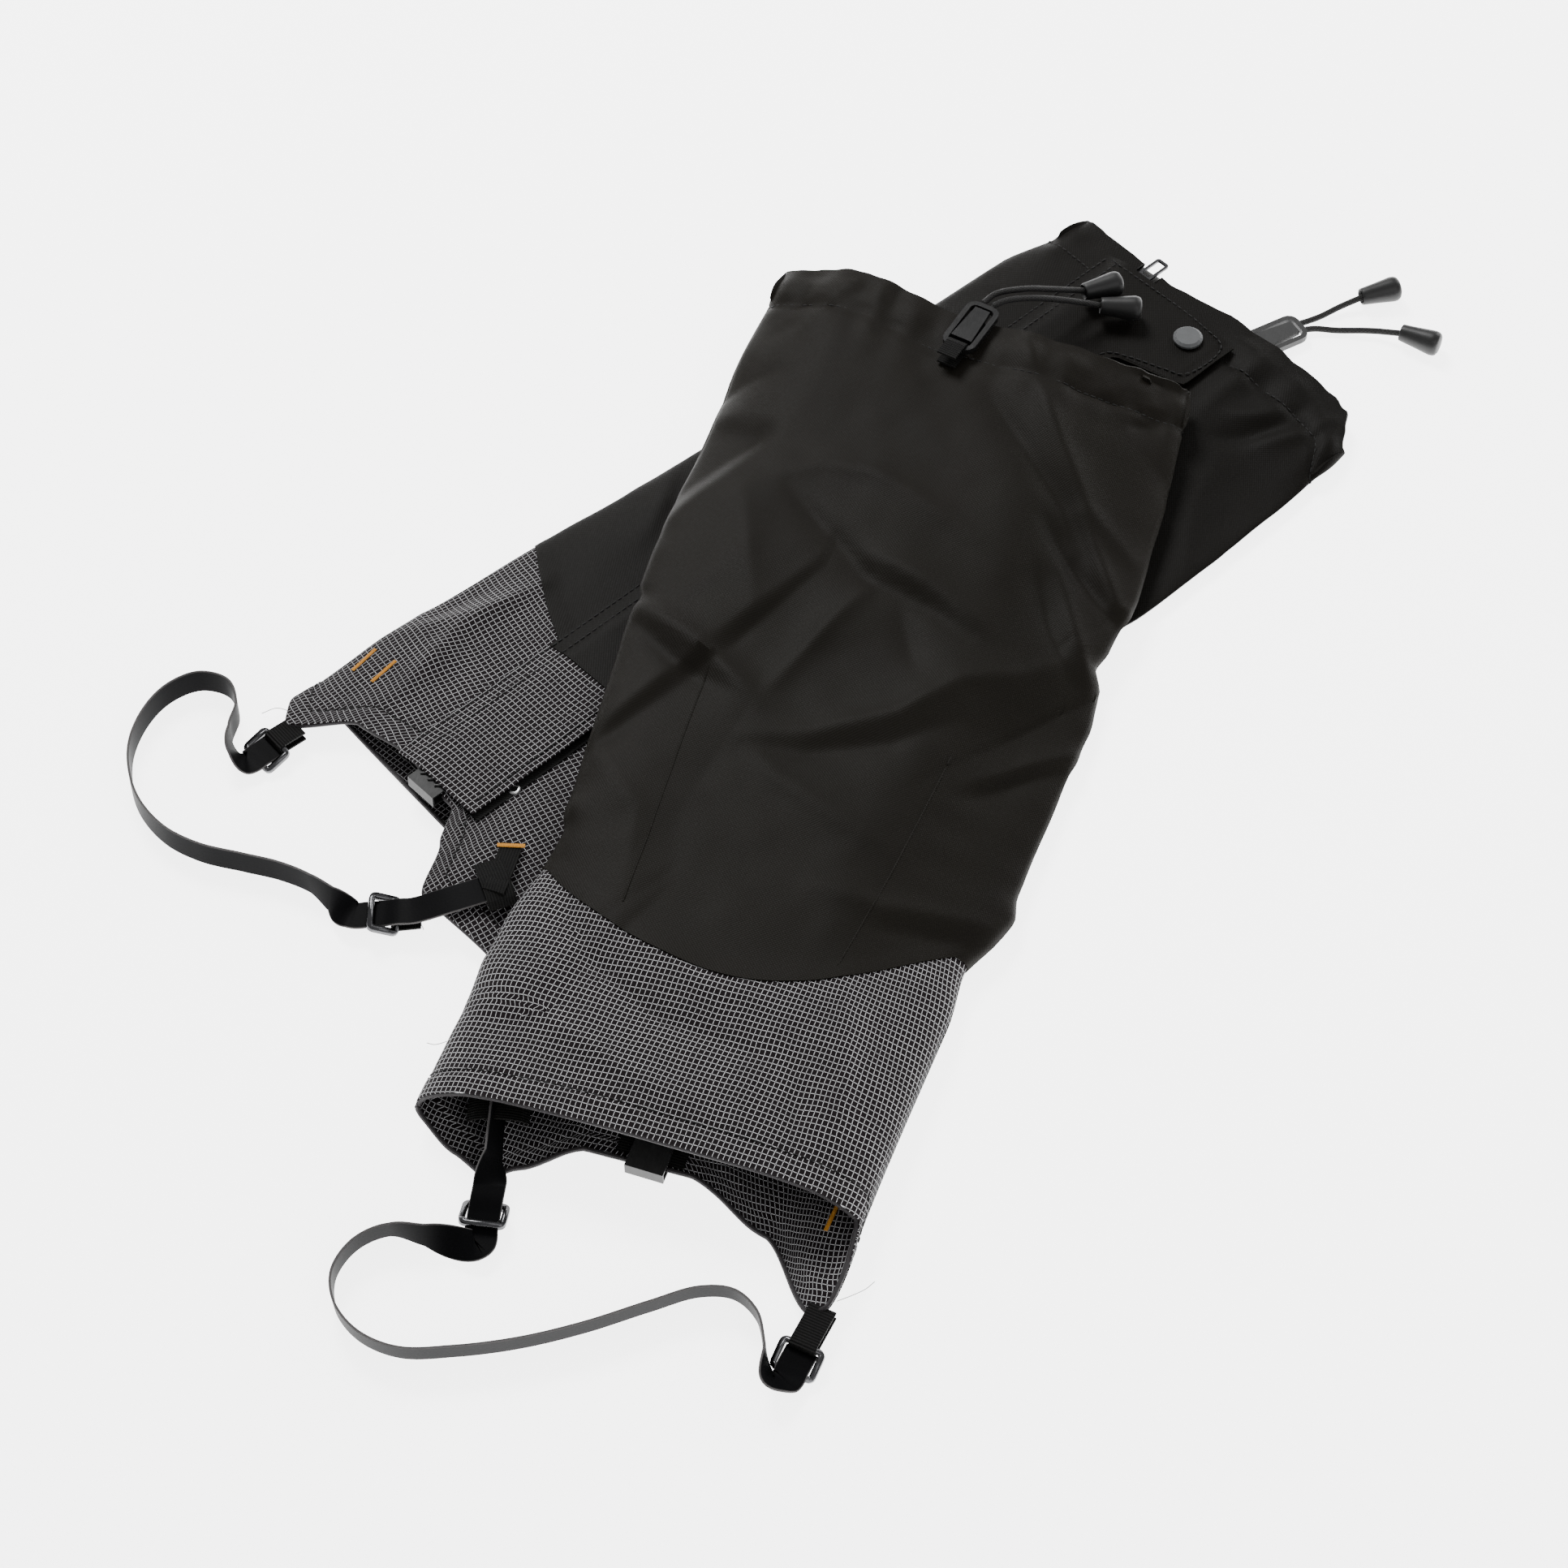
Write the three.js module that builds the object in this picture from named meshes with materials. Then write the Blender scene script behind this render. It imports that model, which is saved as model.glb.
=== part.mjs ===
// A pair of knee-length mountaineering gaiters, lying crossed on a floor.
// The over gaiter lies calf side up, with its top end across the under gaiter, which lies closure side up.
// Millimetres, +Z up. Each gaiter has its own frame: x across it, y from its hem to its top.

import * as THREE from 'three';

// ---- Driving dimensions of the cloth ----
const CLOTH = 0.8; // thickness of every panel
const SEAM_GAP = 0.5; // between two cloths sewn edge to edge
const FOLD_GAP = 0.7; // half the gap between the calf layer and the front layer at a side fold
const CUFF_HEIGHT = 88; // hem to cuff seam, beside the closure
const SEAM_RISE = 34; // how much higher the cuff seam is at the side folds
const HEM_HALF_WIDTH = 91;
const KNEE_HALF_WIDTH = 101;
const TOP_HALF_WIDTH = 95;
const GAITER_LENGTH = 452;

// ---- Driving dimensions of the closure and the hardware ----
const CORD_DIAMETER = 2.8;
const CORD_CLEARANCE = 0.8;
const CORD_BELOW_TOP = 11; // the drawcord runs this far below the top edge
const PANEL_SETBACK = 6; // from the middle of the zip to the edge of a front panel
const TEETH_HALF_GAP = 1;
const TEETH_WIDTH = 2.2;
const TEETH_HEIGHT = 2;
const TAPE_REACH = 14;
const TAPE_SHORT = 9; // the tape ends this far below the top edge
const CLOSURE_START = 8; // height over the hem at which the closure's own frame starts
const CLOSURE_OVERHANG = 2; // the closure reaches this far below its frame's start, and its flap above the tape's end
const SLIDER_LENGTH = 10;
const SLIDER_WIDTH = 8;
const SLIDER_PLATE = 1.1;
const SLIDER_CLEARANCE = 0.3;
const PULL_LENGTH = 14;
const PULL_WIDTH = 7;
const PULL_WIRE = 1.1;
const FLAP_REACH = 26; // free edge of the storm flap, from the zip
const FLAP_SEWN = 22; // sewn edge of the storm flap, on the other side
const TAB_REACH = 60; // the flap's top tab, which holds the snap
const TAB_LENGTH = 44;
const TAB_TAPER = 14; // length over which the flap widens into the tab
const FLAP_TUCK = 14; // width over which the flap climbs from its sewn edge
const SNAP_DIAMETER = 13.5;
const SOCKET_RADIUS = 5;
const LOOP_STRIP_WIDTH = 10;
const LOOP_STRIP_THICKNESS = 0.9;
const LAYER_CLEARANCE = 0.3; // between cloths and hardware that lie on each other
const STRAP_WIDTH = 13;
const STRAP_THICKNESS = 1;
const BUCKLE_LENGTH = STRAP_WIDTH + 5;
const BUCKLE_DEPTH = 13;
const BUCKLE_WIRE = 1.8;
const BUCKLE_TILT = 20 * Math.PI / 180;
const WEBBING_THICKNESS = 0.9;
const BAR_CLEARANCE = 0.45; // between a bar and the webbing folded round it
const TAB_WEBBING_WIDTH = 11;
const LOCK_LENGTH = 30;
const LOCK_WIDTH = 16;
const LOCK_RIM = 2.4;
const LOCK_THICKNESS = 3;
const LOCK_BAR_RADIUS = Math.hypot(LOCK_RIM, LOCK_THICKNESS) / 2; // over the corners of the bar
const LOCK_WEBBING_WIDTH = 9;
const CORD_END_LENGTH = 19;
const CORD_END_RADIUS = 5.8;

// Heights over the closure, from the middle of the front panels outwards.
const TAPE_HEIGHT = -1.2;
const TAPE_THICKNESS = 0.8;
const TEETH_MIDDLE = TAPE_HEIGHT;
const FLAP_HEIGHT = 3.3;
const STACK = FLAP_HEIGHT + CLOTH / 2;
const CORD_INSET = CORD_DIAMETER / 2 + CORD_CLEARANCE + CLOTH / 2; // from the middle of the cloth

// ---- How the pair lies ----
const UNDER_TURN = 32.5 * Math.PI / 180; // the under gaiter is turned clockwise by this much
const UNDER_HEM = new THREE.Vector2(-133.3, 137.3); // the middle of its hem
const UNDER_FRONT = 10.5; // height of its front panels over the floor
const UNDER_FOLD = 5;
const UNDER_DROOP = 4.2; // its front panels lie this much lower beside its right fold
const UNDER_CLEAR = 0.9; // between the two gaiters where they cross
const OVER_FRONT = 1.2; // height of the over gaiter's front panels over what they lie on
const OVER_CALF_HEM = 30;
const OVER_CALF_TOP = 15.5;
const CROSSING = 338; // along the over gaiter, where the two closures cross
const CLOSURE_BAND = 30; // the closure lies straight over this width on each side
const FLAP_OVERHANG = 4; // the slope starts this far below the hem
const HEM_STIFFNESS = 0.6;
const STIFF_SPAN = 5; // the over gaiter clears what is this far beside it too
const ORIGIN = new THREE.Vector3(-41, 229.8, 0); // middle of the pair, cords left out

const COLOURS = {
  cloth: { color: 0x1f1e1d, roughness: 0.85, metalness: 0 },
  grid: { color: 0x35333a, roughness: 0.8, metalness: 0 },
  webbing: { color: 0x121212, roughness: 0.9, metalness: 0 },
  tape: { color: 0x161616, roughness: 0.8, metalness: 0 },
  strap: { color: 0x2b2d33, roughness: 0.5, metalness: 0 },
  gloss: { color: 0x0c0c0c, roughness: 0.2, metalness: 0 },
  matte: { color: 0x1a1a1a, roughness: 0.7, metalness: 0 },
  cord: { color: 0x111111, roughness: 0.9, metalness: 0 },
  steel: { color: 0x6d6b68, roughness: 0.4, metalness: 1 },
};

const pair = new THREE.Group();
pair.position.copy(ORIGIN).negate();

// ---- Small helpers ----

function addMesh(parent, name, geometry, look) {
  const mesh = new THREE.Mesh(geometry, new THREE.MeshStandardMaterial(COLOURS[look]));
  mesh.name = name;
  parent.add(mesh);
  return mesh;
}

function rise(from, to, value) {
  return THREE.MathUtils.smoothstep(value, from, to);
}

// A curve through a few outline points, read by its first coordinate.
function outline(points) {
  return (x) => {
    const last = points.length - 1;
    if (x <= points[0][0]) return points[0][1];
    if (x >= points[last][0]) return points[last][1];
    const i = points.findIndex((point) => point[0] > x) - 1;
    const t = (x - points[i][0]) / (points[i + 1][0] - points[i][0]);
    const ease = t * t * (3 - 2 * t);
    return points[i][1] + (points[i + 1][1] - points[i][1]) * (0.5 * t + 0.5 * ease);
  };
}

// A sheet of cloth: a flat box whose middle plane is bent so that (u, v) runs over place(u, v).
function sheet(across, along, thickness, place) {
  const geometry = new THREE.BoxGeometry(1, 1, 1, across, along, 1);
  const spots = geometry.attributes.position;
  const step = 1e-3;
  for (let i = 0; i < spots.count; i += 1) {
    const u = spots.getX(i) + 0.5;
    const v = spots.getY(i) + 0.5;
    const overU = place(u + step, v).sub(place(u - step, v));
    const overV = place(u, v + step).sub(place(u, v - step));
    const normal = overU.cross(overV).normalize();
    const spot = place(u, v).addScaledVector(normal, spots.getZ(i) * thickness);
    spots.setXYZ(i, spot.x, spot.y, spot.z);
  }
  geometry.computeVertexNormals();
  return geometry;
}

// A profile in the (y, z) plane, extruded across by a width and centred on x = 0.
function acrossProfile(points, width) {
  const shape = new THREE.Shape(points.map(([y, z]) => new THREE.Vector2(y, z)));
  const geometry = new THREE.ExtrudeGeometry(shape, { depth: width, bevelEnabled: false });
  geometry.translate(0, 0, -width / 2);
  geometry.rotateX(Math.PI / 2);
  geometry.rotateZ(Math.PI / 2);
  return geometry;
}

function roundedRectangle(path, width, length, radius) {
  const x = width / 2;
  const y = length / 2;
  path.moveTo(-x + radius, -y);
  path.lineTo(x - radius, -y);
  path.absarc(x - radius, -y + radius, radius, -Math.PI / 2, 0);
  path.lineTo(x, y - radius);
  path.absarc(x - radius, y - radius, radius, 0, Math.PI / 2);
  path.lineTo(-x + radius, y);
  path.absarc(-x + radius, y - radius, radius, Math.PI / 2, Math.PI);
  path.lineTo(-x, -y + radius);
  path.absarc(-x + radius, -y + radius, radius, Math.PI, 1.5 * Math.PI);
  return path;
}

// A flat rectangular ring, its middle on the origin.
function ring(width, length, rim, thickness, corner) {
  const shape = roundedRectangle(new THREE.Shape(), width, length, corner);
  const inner = Math.max(corner - rim, rim / 2);
  shape.holes.push(roundedRectangle(new THREE.Path(), width - 2 * rim, length - 2 * rim, inner));
  const geometry = new THREE.ExtrudeGeometry(shape, {
    depth: thickness, bevelEnabled: false, curveSegments: 2,
  });
  geometry.translate(0, 0, -thickness / 2);
  return geometry;
}

function cordTube(points, diameter, steps) {
  const section = new THREE.Shape();
  const sides = 8;
  for (let i = 0; i < sides; i += 1) {
    const angle = 2 * Math.PI * i / sides;
    const spot = [Math.cos(angle) * diameter / 2, Math.sin(angle) * diameter / 2];
    if (i === 0) section.moveTo(...spot);
    else section.lineTo(...spot);
  }
  const extrudePath = new THREE.CatmullRomCurve3(points.map((p) => new THREE.Vector3(...p)));
  return new THREE.ExtrudeGeometry(section, { steps, extrudePath, bevelEnabled: false });
}

// ---- The form of a gaiter lying flat ----

// Half the flat width at a height y: hem, cuff, knee, gathered top.
const halfWidth = outline([
  [-40, HEM_HALF_WIDTH], [0, HEM_HALF_WIDTH], [120, HEM_HALF_WIDTH], [330, KNEE_HALF_WIDTH],
  [400, KNEE_HALF_WIDTH], [GAITER_LENGTH + 20, TOP_HALF_WIDTH],
]);

function cuffSeam(x) {
  const share = Math.min(Math.abs(x) / HEM_HALF_WIDTH, 1);
  return CUFF_HEIGHT + SEAM_RISE * share * share;
}

// The closure is one straight line on each gaiter, from its hem end to its top end.
function straightLine(bottom, top) {
  return (y) => bottom[0] + (top[0] - bottom[0]) * (y - bottom[1]) / (top[1] - bottom[1]);
}

const under = {
  name: 'under',
  calfIsUp: false,
  zipX: straightLine([-14, 8], [-44, 446]),
  top: outline([[-95, 446], [-62, 440], [-30, 440], [0, 448], [60, 452], [95, 446]]),
  calfTop: outline([[-95, 446], [-20, 446], [4, 438], [34, 438], [60, 448], [95, 446]]),
  frontHem: outline([[-92, -8], [-78, -17], [-60, 1], [-34, 7], [2, 5], [14, -10], [30, -31], [68, -27], [92, -14]]),
  centre: outline([[0, 0], [GAITER_LENGTH, 1]]),
  front: (x, y) => UNDER_FRONT - UNDER_DROOP * rise(24, 84, x) * (1 - rise(380, 430, y)),
  calf: () => CLOTH / 2 + 0.2,
  fold: () => UNDER_FOLD,
  lift: () => 0,
};

const over = {
  name: 'over',
  calfIsUp: true,
  zipX: straightLine([4, 8], [13, 450]),
  top: outline([[-95, 466], [-50, 464], [-4, 452], [45, 450], [100, 452]]),
  calfTop: outline([[-95, 466], [-50, 464], [-4, 452], [45, 450], [100, 452]]),
  frontHem: outline([[-92, -4], [-72, -14], [-56, -20], [-46, -12], [-24, 3], [20, 4], [56, -12], [80, -36], [92, -33]]),
  centre: outline([[0, 2], [160, 8], [330, 8], [GAITER_LENGTH, 6]]),
  front: (x, y) => STACK - (STACK - OVER_FRONT) * rise(CLOSURE_BAND, 48, besideClosure(x, y)),
  calf: (x, y) => OVER_CALF_TOP + (OVER_CALF_HEM - OVER_CALF_TOP) * (1 - rise(-30, 260, y)),
  fold: (x, y) => 8 + 4 * (1 - rise(0, 160, y)),
  lift: (x, y) => overLift(x, y),
};

// How far beside the over gaiter's closure a point is, past the tab that its flap has at the top end.
function besideClosure(x, y) {
  const fromZip = x - over.zipX(y);
  const tab = (TAB_REACH - FLAP_REACH) * rise(350, 376, y);
  return fromZip < 0 ? -fromZip - tab : fromZip;
}

// ---- How the over gaiter lies on the under gaiter ----

function toUnder(x, y) {
  const dx = x - UNDER_HEM.x;
  const dy = y - UNDER_HEM.y;
  const cos = Math.cos(UNDER_TURN);
  const sin = Math.sin(UNDER_TURN);
  return [dx * cos - dy * sin, dx * sin + dy * cos];
}

// Height of the under gaiter's upper face, with a skirt that a stiff cloth laid over its edge would follow.
function heightUnder(x, y) {
  const [across, along] = toUnder(x, y);
  const half = halfWidth(along);
  const sideways = Math.max(Math.abs(across) - half, 0);
  const lengthways = Math.max(-24 - along, along - GAITER_LENGTH, 0);
  const inside = Math.min(Math.abs(across) / half, 1);
  const panel = UNDER_FOLD + (under.front(across, along) - UNDER_FOLD) * Math.sqrt(1 - inside ** 4) + CLOTH / 2;
  const fromZip = across - under.zipX(along);
  const reach = FLAP_REACH + (TAB_REACH - FLAP_REACH) * rise(370, 396, along);
  const onStack = rise(-FLAP_SEWN - 14, -FLAP_SEWN - 3, fromZip) * (1 - rise(reach + 2, reach + 12, fromZip));
  const top = Math.max(panel, 0.5) + STACK * onStack;
  return top * (1 - rise(2, 30, Math.hypot(sideways, lengthways)));
}

// The closure rises in one straight slope, so that its slider can run.
const slope = (UNDER_FRONT + STACK + UNDER_CLEAR + CLOTH / 2) / (CROSSING + FLAP_OVERHANG);

function incline(y) {
  return Math.max(slope * (y + FLAP_OVERHANG), 0);
}

function overLift(x, y) {
  const beside = besideClosure(x, y);
  if (beside < CLOSURE_BAND) return incline(y);
  let below = 0;
  for (const [dx, dy] of [[0, 0], [STIFF_SPAN, 0], [-STIFF_SPAN, 0], [0, STIFF_SPAN], [0, -STIFF_SPAN]]) {
    below = Math.max(below, heightUnder(x + dx, y + dy));
  }
  const touching = below > 0.5 ? below + UNDER_CLEAR - 0.6 : 0;
  const hemHolds = HEM_STIFFNESS * incline(y) * rise(350, 420, y); // the corded top hem hangs down less
  const support = Math.max(touching, hemHolds);
  const free = rise(CLOSURE_BAND, 80, beside);
  return Math.max(incline(y) * (1 - free) + support * free, support);
}

// ---- Cloth panels ----

// A point on the calf layer or the front layer: turn runs from -90 degrees at the left fold to +90 at the right.
function layerPoint(gaiter, layer, turn, y) {
  const half = halfWidth(y);
  const x = gaiter.centre(y) + half * Math.sin(turn);
  const crown = Math.cos(turn) * Math.sqrt(1 + Math.sin(turn) ** 2);
  const sign = (layer === 'calf') === gaiter.calfIsUp ? 1 : -1;
  const fold = gaiter.fold(x, y) + sign * FOLD_GAP;
  const z = fold + (gaiter[layer](x, y) - fold) * crown + gaiter.lift(x, y);
  return new THREE.Vector3(x, y, z);
}

// The same point moved towards the inside of the gaiter.
function insetPoint(gaiter, layer, turn, y, inset) {
  const spot = layerPoint(gaiter, layer, turn, y);
  if (inset === 0) return spot;
  const step = 1e-3;
  const overX = layerPoint(gaiter, layer, turn + step, y).sub(layerPoint(gaiter, layer, turn - step, y));
  const inwards = new THREE.Vector3(overX.z, 0, -overX.x).normalize();
  const layerIsUp = (layer === 'calf') === gaiter.calfIsUp;
  return spot.addScaledVector(inwards, layerIsUp ? inset : -inset);
}

// Where a front panel starts beside the closure, as a turn.
function closureTurn(gaiter, y, side) {
  const x = gaiter.zipX(y) + side * PANEL_SETBACK - gaiter.centre(y);
  return Math.asin(THREE.MathUtils.clamp(x / halfWidth(y), -1, 1));
}

function turnAt(gaiter, layer, side, u, y) {
  if (layer === 'calf') return Math.PI * (u - 0.5);
  const edge = closureTurn(gaiter, y, side);
  return side < 0 ? -Math.PI / 2 + u * (edge + Math.PI / 2) : edge + u * (Math.PI / 2 - edge);
}

// How far across the gaiter a share u of a panel's width is, at a height y.
function acrossAt(gaiter, layer, side, u, y) {
  return gaiter.centre(y) + halfWidth(y) * Math.sin(turnAt(gaiter, layer, side, u, y));
}

function seamHeight(gaiter, layer, side, u) {
  return cuffSeam(acrossAt(gaiter, layer, side, u, CUFF_HEIGHT));
}

// A panel between two heights, each a function of u. Crowding packs its rows towards the top.
function panel(gaiter, layer, side, steps, crowding, bottomAt, topAt) {
  return sheet(steps[0], steps[1], CLOTH, (u, v) => {
    const bottom = bottomAt(u);
    const y = bottom + (topAt(u) - bottom) * (1 - (1 - v) * Math.abs(1 - v) ** (crowding - 1));
    return layerPoint(gaiter, layer, turnAt(gaiter, layer, side, u, y), y);
  });
}

function upperPanel(gaiter, layer, side, steps) {
  const topOf = layer === 'calf' ? gaiter.calfTop : gaiter.top;
  const bottomAt = (u) => seamHeight(gaiter, layer, side, u) + SEAM_GAP / 2;
  const topAt = (u) => topOf(acrossAt(gaiter, layer, side, u, GAITER_LENGTH));
  return panel(gaiter, layer, side, steps, 1.6, bottomAt, topAt);
}

function cuffPanel(gaiter, layer, side, steps) {
  const bottomAt = (u) => (layer === 'calf' ? 0 : gaiter.frontHem(acrossAt(gaiter, layer, side, u, 0)));
  const topAt = (u) => seamHeight(gaiter, layer, side, u) - SEAM_GAP / 2;
  return panel(gaiter, layer, side, steps, 1, bottomAt, topAt);
}

// The elastic cord inside the top hem, from one side of the closure round to the other.
function drawcord(gaiter) {
  const points = [];
  const run = (layer, fromTurn, toTurn, count) => {
    const topOf = layer === 'calf' ? gaiter.calfTop : gaiter.top;
    for (let i = 0; i < count; i += 1) {
      const turn = fromTurn + (toTurn - fromTurn) * i / (count - 1);
      const x = gaiter.centre(GAITER_LENGTH) + halfWidth(GAITER_LENGTH) * Math.sin(turn);
      points.push(insetPoint(gaiter, layer, turn, topOf(x) - CORD_BELOW_TOP, CORD_INSET).toArray());
    }
  };
  const atFold = (side) => {
    const spot = layerPoint(gaiter, 'front', side * Math.PI / 2, GAITER_LENGTH - 8 - CORD_BELOW_TOP);
    points.push([spot.x - side * (CORD_INSET + 1.2), spot.y, spot.z + (gaiter.calfIsUp ? FOLD_GAP : -FOLD_GAP)]);
  };
  const besideTape = (TAPE_REACH + CORD_DIAMETER) / TOP_HALF_WIDTH;
  const frontEnd = 0.95; // the turns where a run along one layer ends and the way round the fold begins
  const calfEnd = 0.9;
  run('front', closureTurn(gaiter, GAITER_LENGTH, 1) + besideTape, frontEnd, 7);
  atFold(1);
  run('calf', calfEnd, -calfEnd, 10);
  atFold(-1);
  run('front', -frontEnd, closureTurn(gaiter, GAITER_LENGTH, -1) - besideTape, 7);
  return cordTube(points, CORD_DIAMETER, 56);
}

// ---- The closure, built in a frame of its own: y up the zip, z outwards from the front panels ----

function closureFrame(gaiter) {
  const level = (y) => gaiter.front(gaiter.zipX(y), y) + gaiter.lift(gaiter.zipX(y), y);
  const at = (y) => new THREE.Vector3(gaiter.zipX(y), y, level(y));
  const start = at(CLOSURE_START);
  const up = at(430).sub(start).normalize();
  const out = new THREE.Vector3(0, 0, gaiter.calfIsUp ? -1 : 1);
  const right = new THREE.Vector3().crossVectors(up, out).normalize();
  out.crossVectors(right, up);
  const frame = new THREE.Group();
  frame.setRotationFromMatrix(new THREE.Matrix4().makeBasis(right, up, out));
  frame.position.copy(start);
  return frame;
}

function zipTape(side, length) {
  const low = TAPE_HEIGHT - TAPE_THICKNESS / 2;
  const high = TAPE_HEIGHT + TAPE_THICKNESS / 2;
  const outer = TEETH_HALF_GAP + TEETH_WIDTH;
  const points = [
    [TAPE_REACH, low], [TAPE_REACH, high], [outer, high], [outer, TEETH_MIDDLE + TEETH_HEIGHT / 2],
    [TEETH_HALF_GAP, TEETH_MIDDLE + TEETH_HEIGHT / 2], [TEETH_HALF_GAP, TEETH_MIDDLE - TEETH_HEIGHT / 2],
    [outer, TEETH_MIDDLE - TEETH_HEIGHT / 2], [outer, low],
  ];
  const shape = new THREE.Shape(points.map(([x, z]) => new THREE.Vector2(side * x, z)));
  const geometry = new THREE.ExtrudeGeometry(shape, { depth: length, bevelEnabled: false });
  geometry.rotateX(Math.PI / 2);
  geometry.translate(0, length, 0);
  return geometry;
}

// Two plates over and under the teeth, joined by the wedge that runs between them.
function zipSlider() {
  const inside = TEETH_HEIGHT / 2 + SLIDER_CLEARANCE;
  const outside = inside + SLIDER_PLATE;
  const post = TEETH_HALF_GAP - SLIDER_CLEARANCE;
  const half = SLIDER_WIDTH / 2;
  const points = [
    [-half, -outside], [half, -outside], [half, -inside], [post, -inside], [post, inside], [half, inside],
    [half, outside], [-half, outside], [-half, inside], [-post, inside], [-post, -inside], [-half, -inside],
  ];
  const shape = new THREE.Shape(points.map(([x, z]) => new THREE.Vector2(x, z + TEETH_MIDDLE)));
  const geometry = new THREE.ExtrudeGeometry(shape, { depth: SLIDER_LENGTH, bevelEnabled: false });
  geometry.rotateX(Math.PI / 2);
  geometry.translate(0, SLIDER_LENGTH, 0);
  return geometry;
}

// The storm flap lies on the panel at its sewn edge, and on the slider and the pull over the zip.
function flapLevel(sewnHeight, x) {
  return sewnHeight + (FLAP_HEIGHT - sewnHeight) * rise(-FLAP_SEWN, -FLAP_SEWN + FLAP_TUCK, x);
}

function stormFlap(fromY, toY, sewnHeight) {
  return sheet(6, 2, CLOTH, (u, v) => {
    const y = fromY + (toY - fromY) * v;
    const x = -FLAP_SEWN + (FLAP_SEWN + FLAP_REACH) * u;
    return new THREE.Vector3(x, y, flapLevel(sewnHeight, x));
  });
}

// The upper flap widens into the snap's tab at its top end.
function upperFlap(fromY, toY, sewnHeight) {
  const lowRows = 6;
  const tabRows = 5;
  const taperStart = toY - TAB_LENGTH - TAB_TAPER;
  return sheet(6, lowRows + tabRows, CLOTH, (u, v) => {
    const row = v * (lowRows + tabRows);
    const y = row < lowRows
      ? fromY + (taperStart - fromY) * row / lowRows
      : taperStart + (TAB_LENGTH + TAB_TAPER) * (row - lowRows) / tabRows;
    const tab = THREE.MathUtils.clamp((y - taperStart) / TAB_TAPER, 0, 1);
    const reach = FLAP_REACH + (TAB_REACH - FLAP_REACH) * tab;
    const x = -FLAP_SEWN + (FLAP_SEWN + reach) * u;
    return new THREE.Vector3(x, y, flapLevel(sewnHeight, x));
  });
}

function disc(radius, low, high, crown) {
  const profile = [
    new THREE.Vector2(0, low), new THREE.Vector2(radius, low), new THREE.Vector2(radius, high - crown),
    new THREE.Vector2(radius * 0.8, high), new THREE.Vector2(0, high),
  ];
  const geometry = new THREE.LatheGeometry(profile, 20);
  geometry.rotateX(Math.PI / 2);
  return geometry;
}

// A bent plate that clips over the bottom of the closure, with a lip that hooks under a boot lace.
function laceHook() {
  const plate = 0.8;
  const inner = TEETH_MIDDLE - TEETH_HEIGHT / 2 - 0.5;
  const outer = 0.9;
  const points = [
    [11, inner], [11, inner - plate], [-4.5, inner - plate], [-4.5, outer + 2 * plate], [2.5, outer + 2 * plate],
    [2.5, outer + plate], [-4.5 + plate, outer + plate], [-4.5 + plate, inner],
  ];
  return acrossProfile(points, 16);
}

function addClosure(gaiter) {
  const frame = closureFrame(gaiter);
  const name = gaiter.name;
  const start = -CLOSURE_OVERHANG;
  const tapeEnd = gaiter.top(gaiter.zipX(GAITER_LENGTH)) - CLOSURE_START - TAPE_SHORT;
  for (const [side, label] of [[-1, 'flap_side'], [1, 'free_side']]) {
    const tape = addMesh(frame, `${name}_zip_tape_${label}`, zipTape(side, tapeEnd - start), 'tape');
    tape.position.y = start;
  }
  addZip(frame, name, tapeEnd - 0.6 * SLIDER_LENGTH);
  addFlap(frame, name, tapeEnd);
  const hook = addMesh(frame, `${name}_lace_hook`, laceHook(), 'steel');
  hook.position.y = 2 * start;
  return frame;
}

// The slider at the closed end of the teeth, and its pull, which lies past it.
function addZip(frame, name, sliderY) {
  const slider = addMesh(frame, `${name}_zip_slider`, zipSlider(), 'steel');
  slider.position.y = sliderY;
  const pull = addMesh(frame, `${name}_zip_pull`, ring(PULL_WIDTH, PULL_LENGTH, 1.3, PULL_WIRE, 1.5), 'steel');
  const sliderFace = TEETH_MIDDLE + TEETH_HEIGHT / 2 + SLIDER_CLEARANCE + SLIDER_PLATE;
  const pullHeight = sliderFace + SLIDER_CLEARANCE + PULL_WIRE / 2;
  pull.position.set(0, sliderY + SLIDER_LENGTH + PULL_LENGTH / 2 - 2, pullHeight);
}

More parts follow.
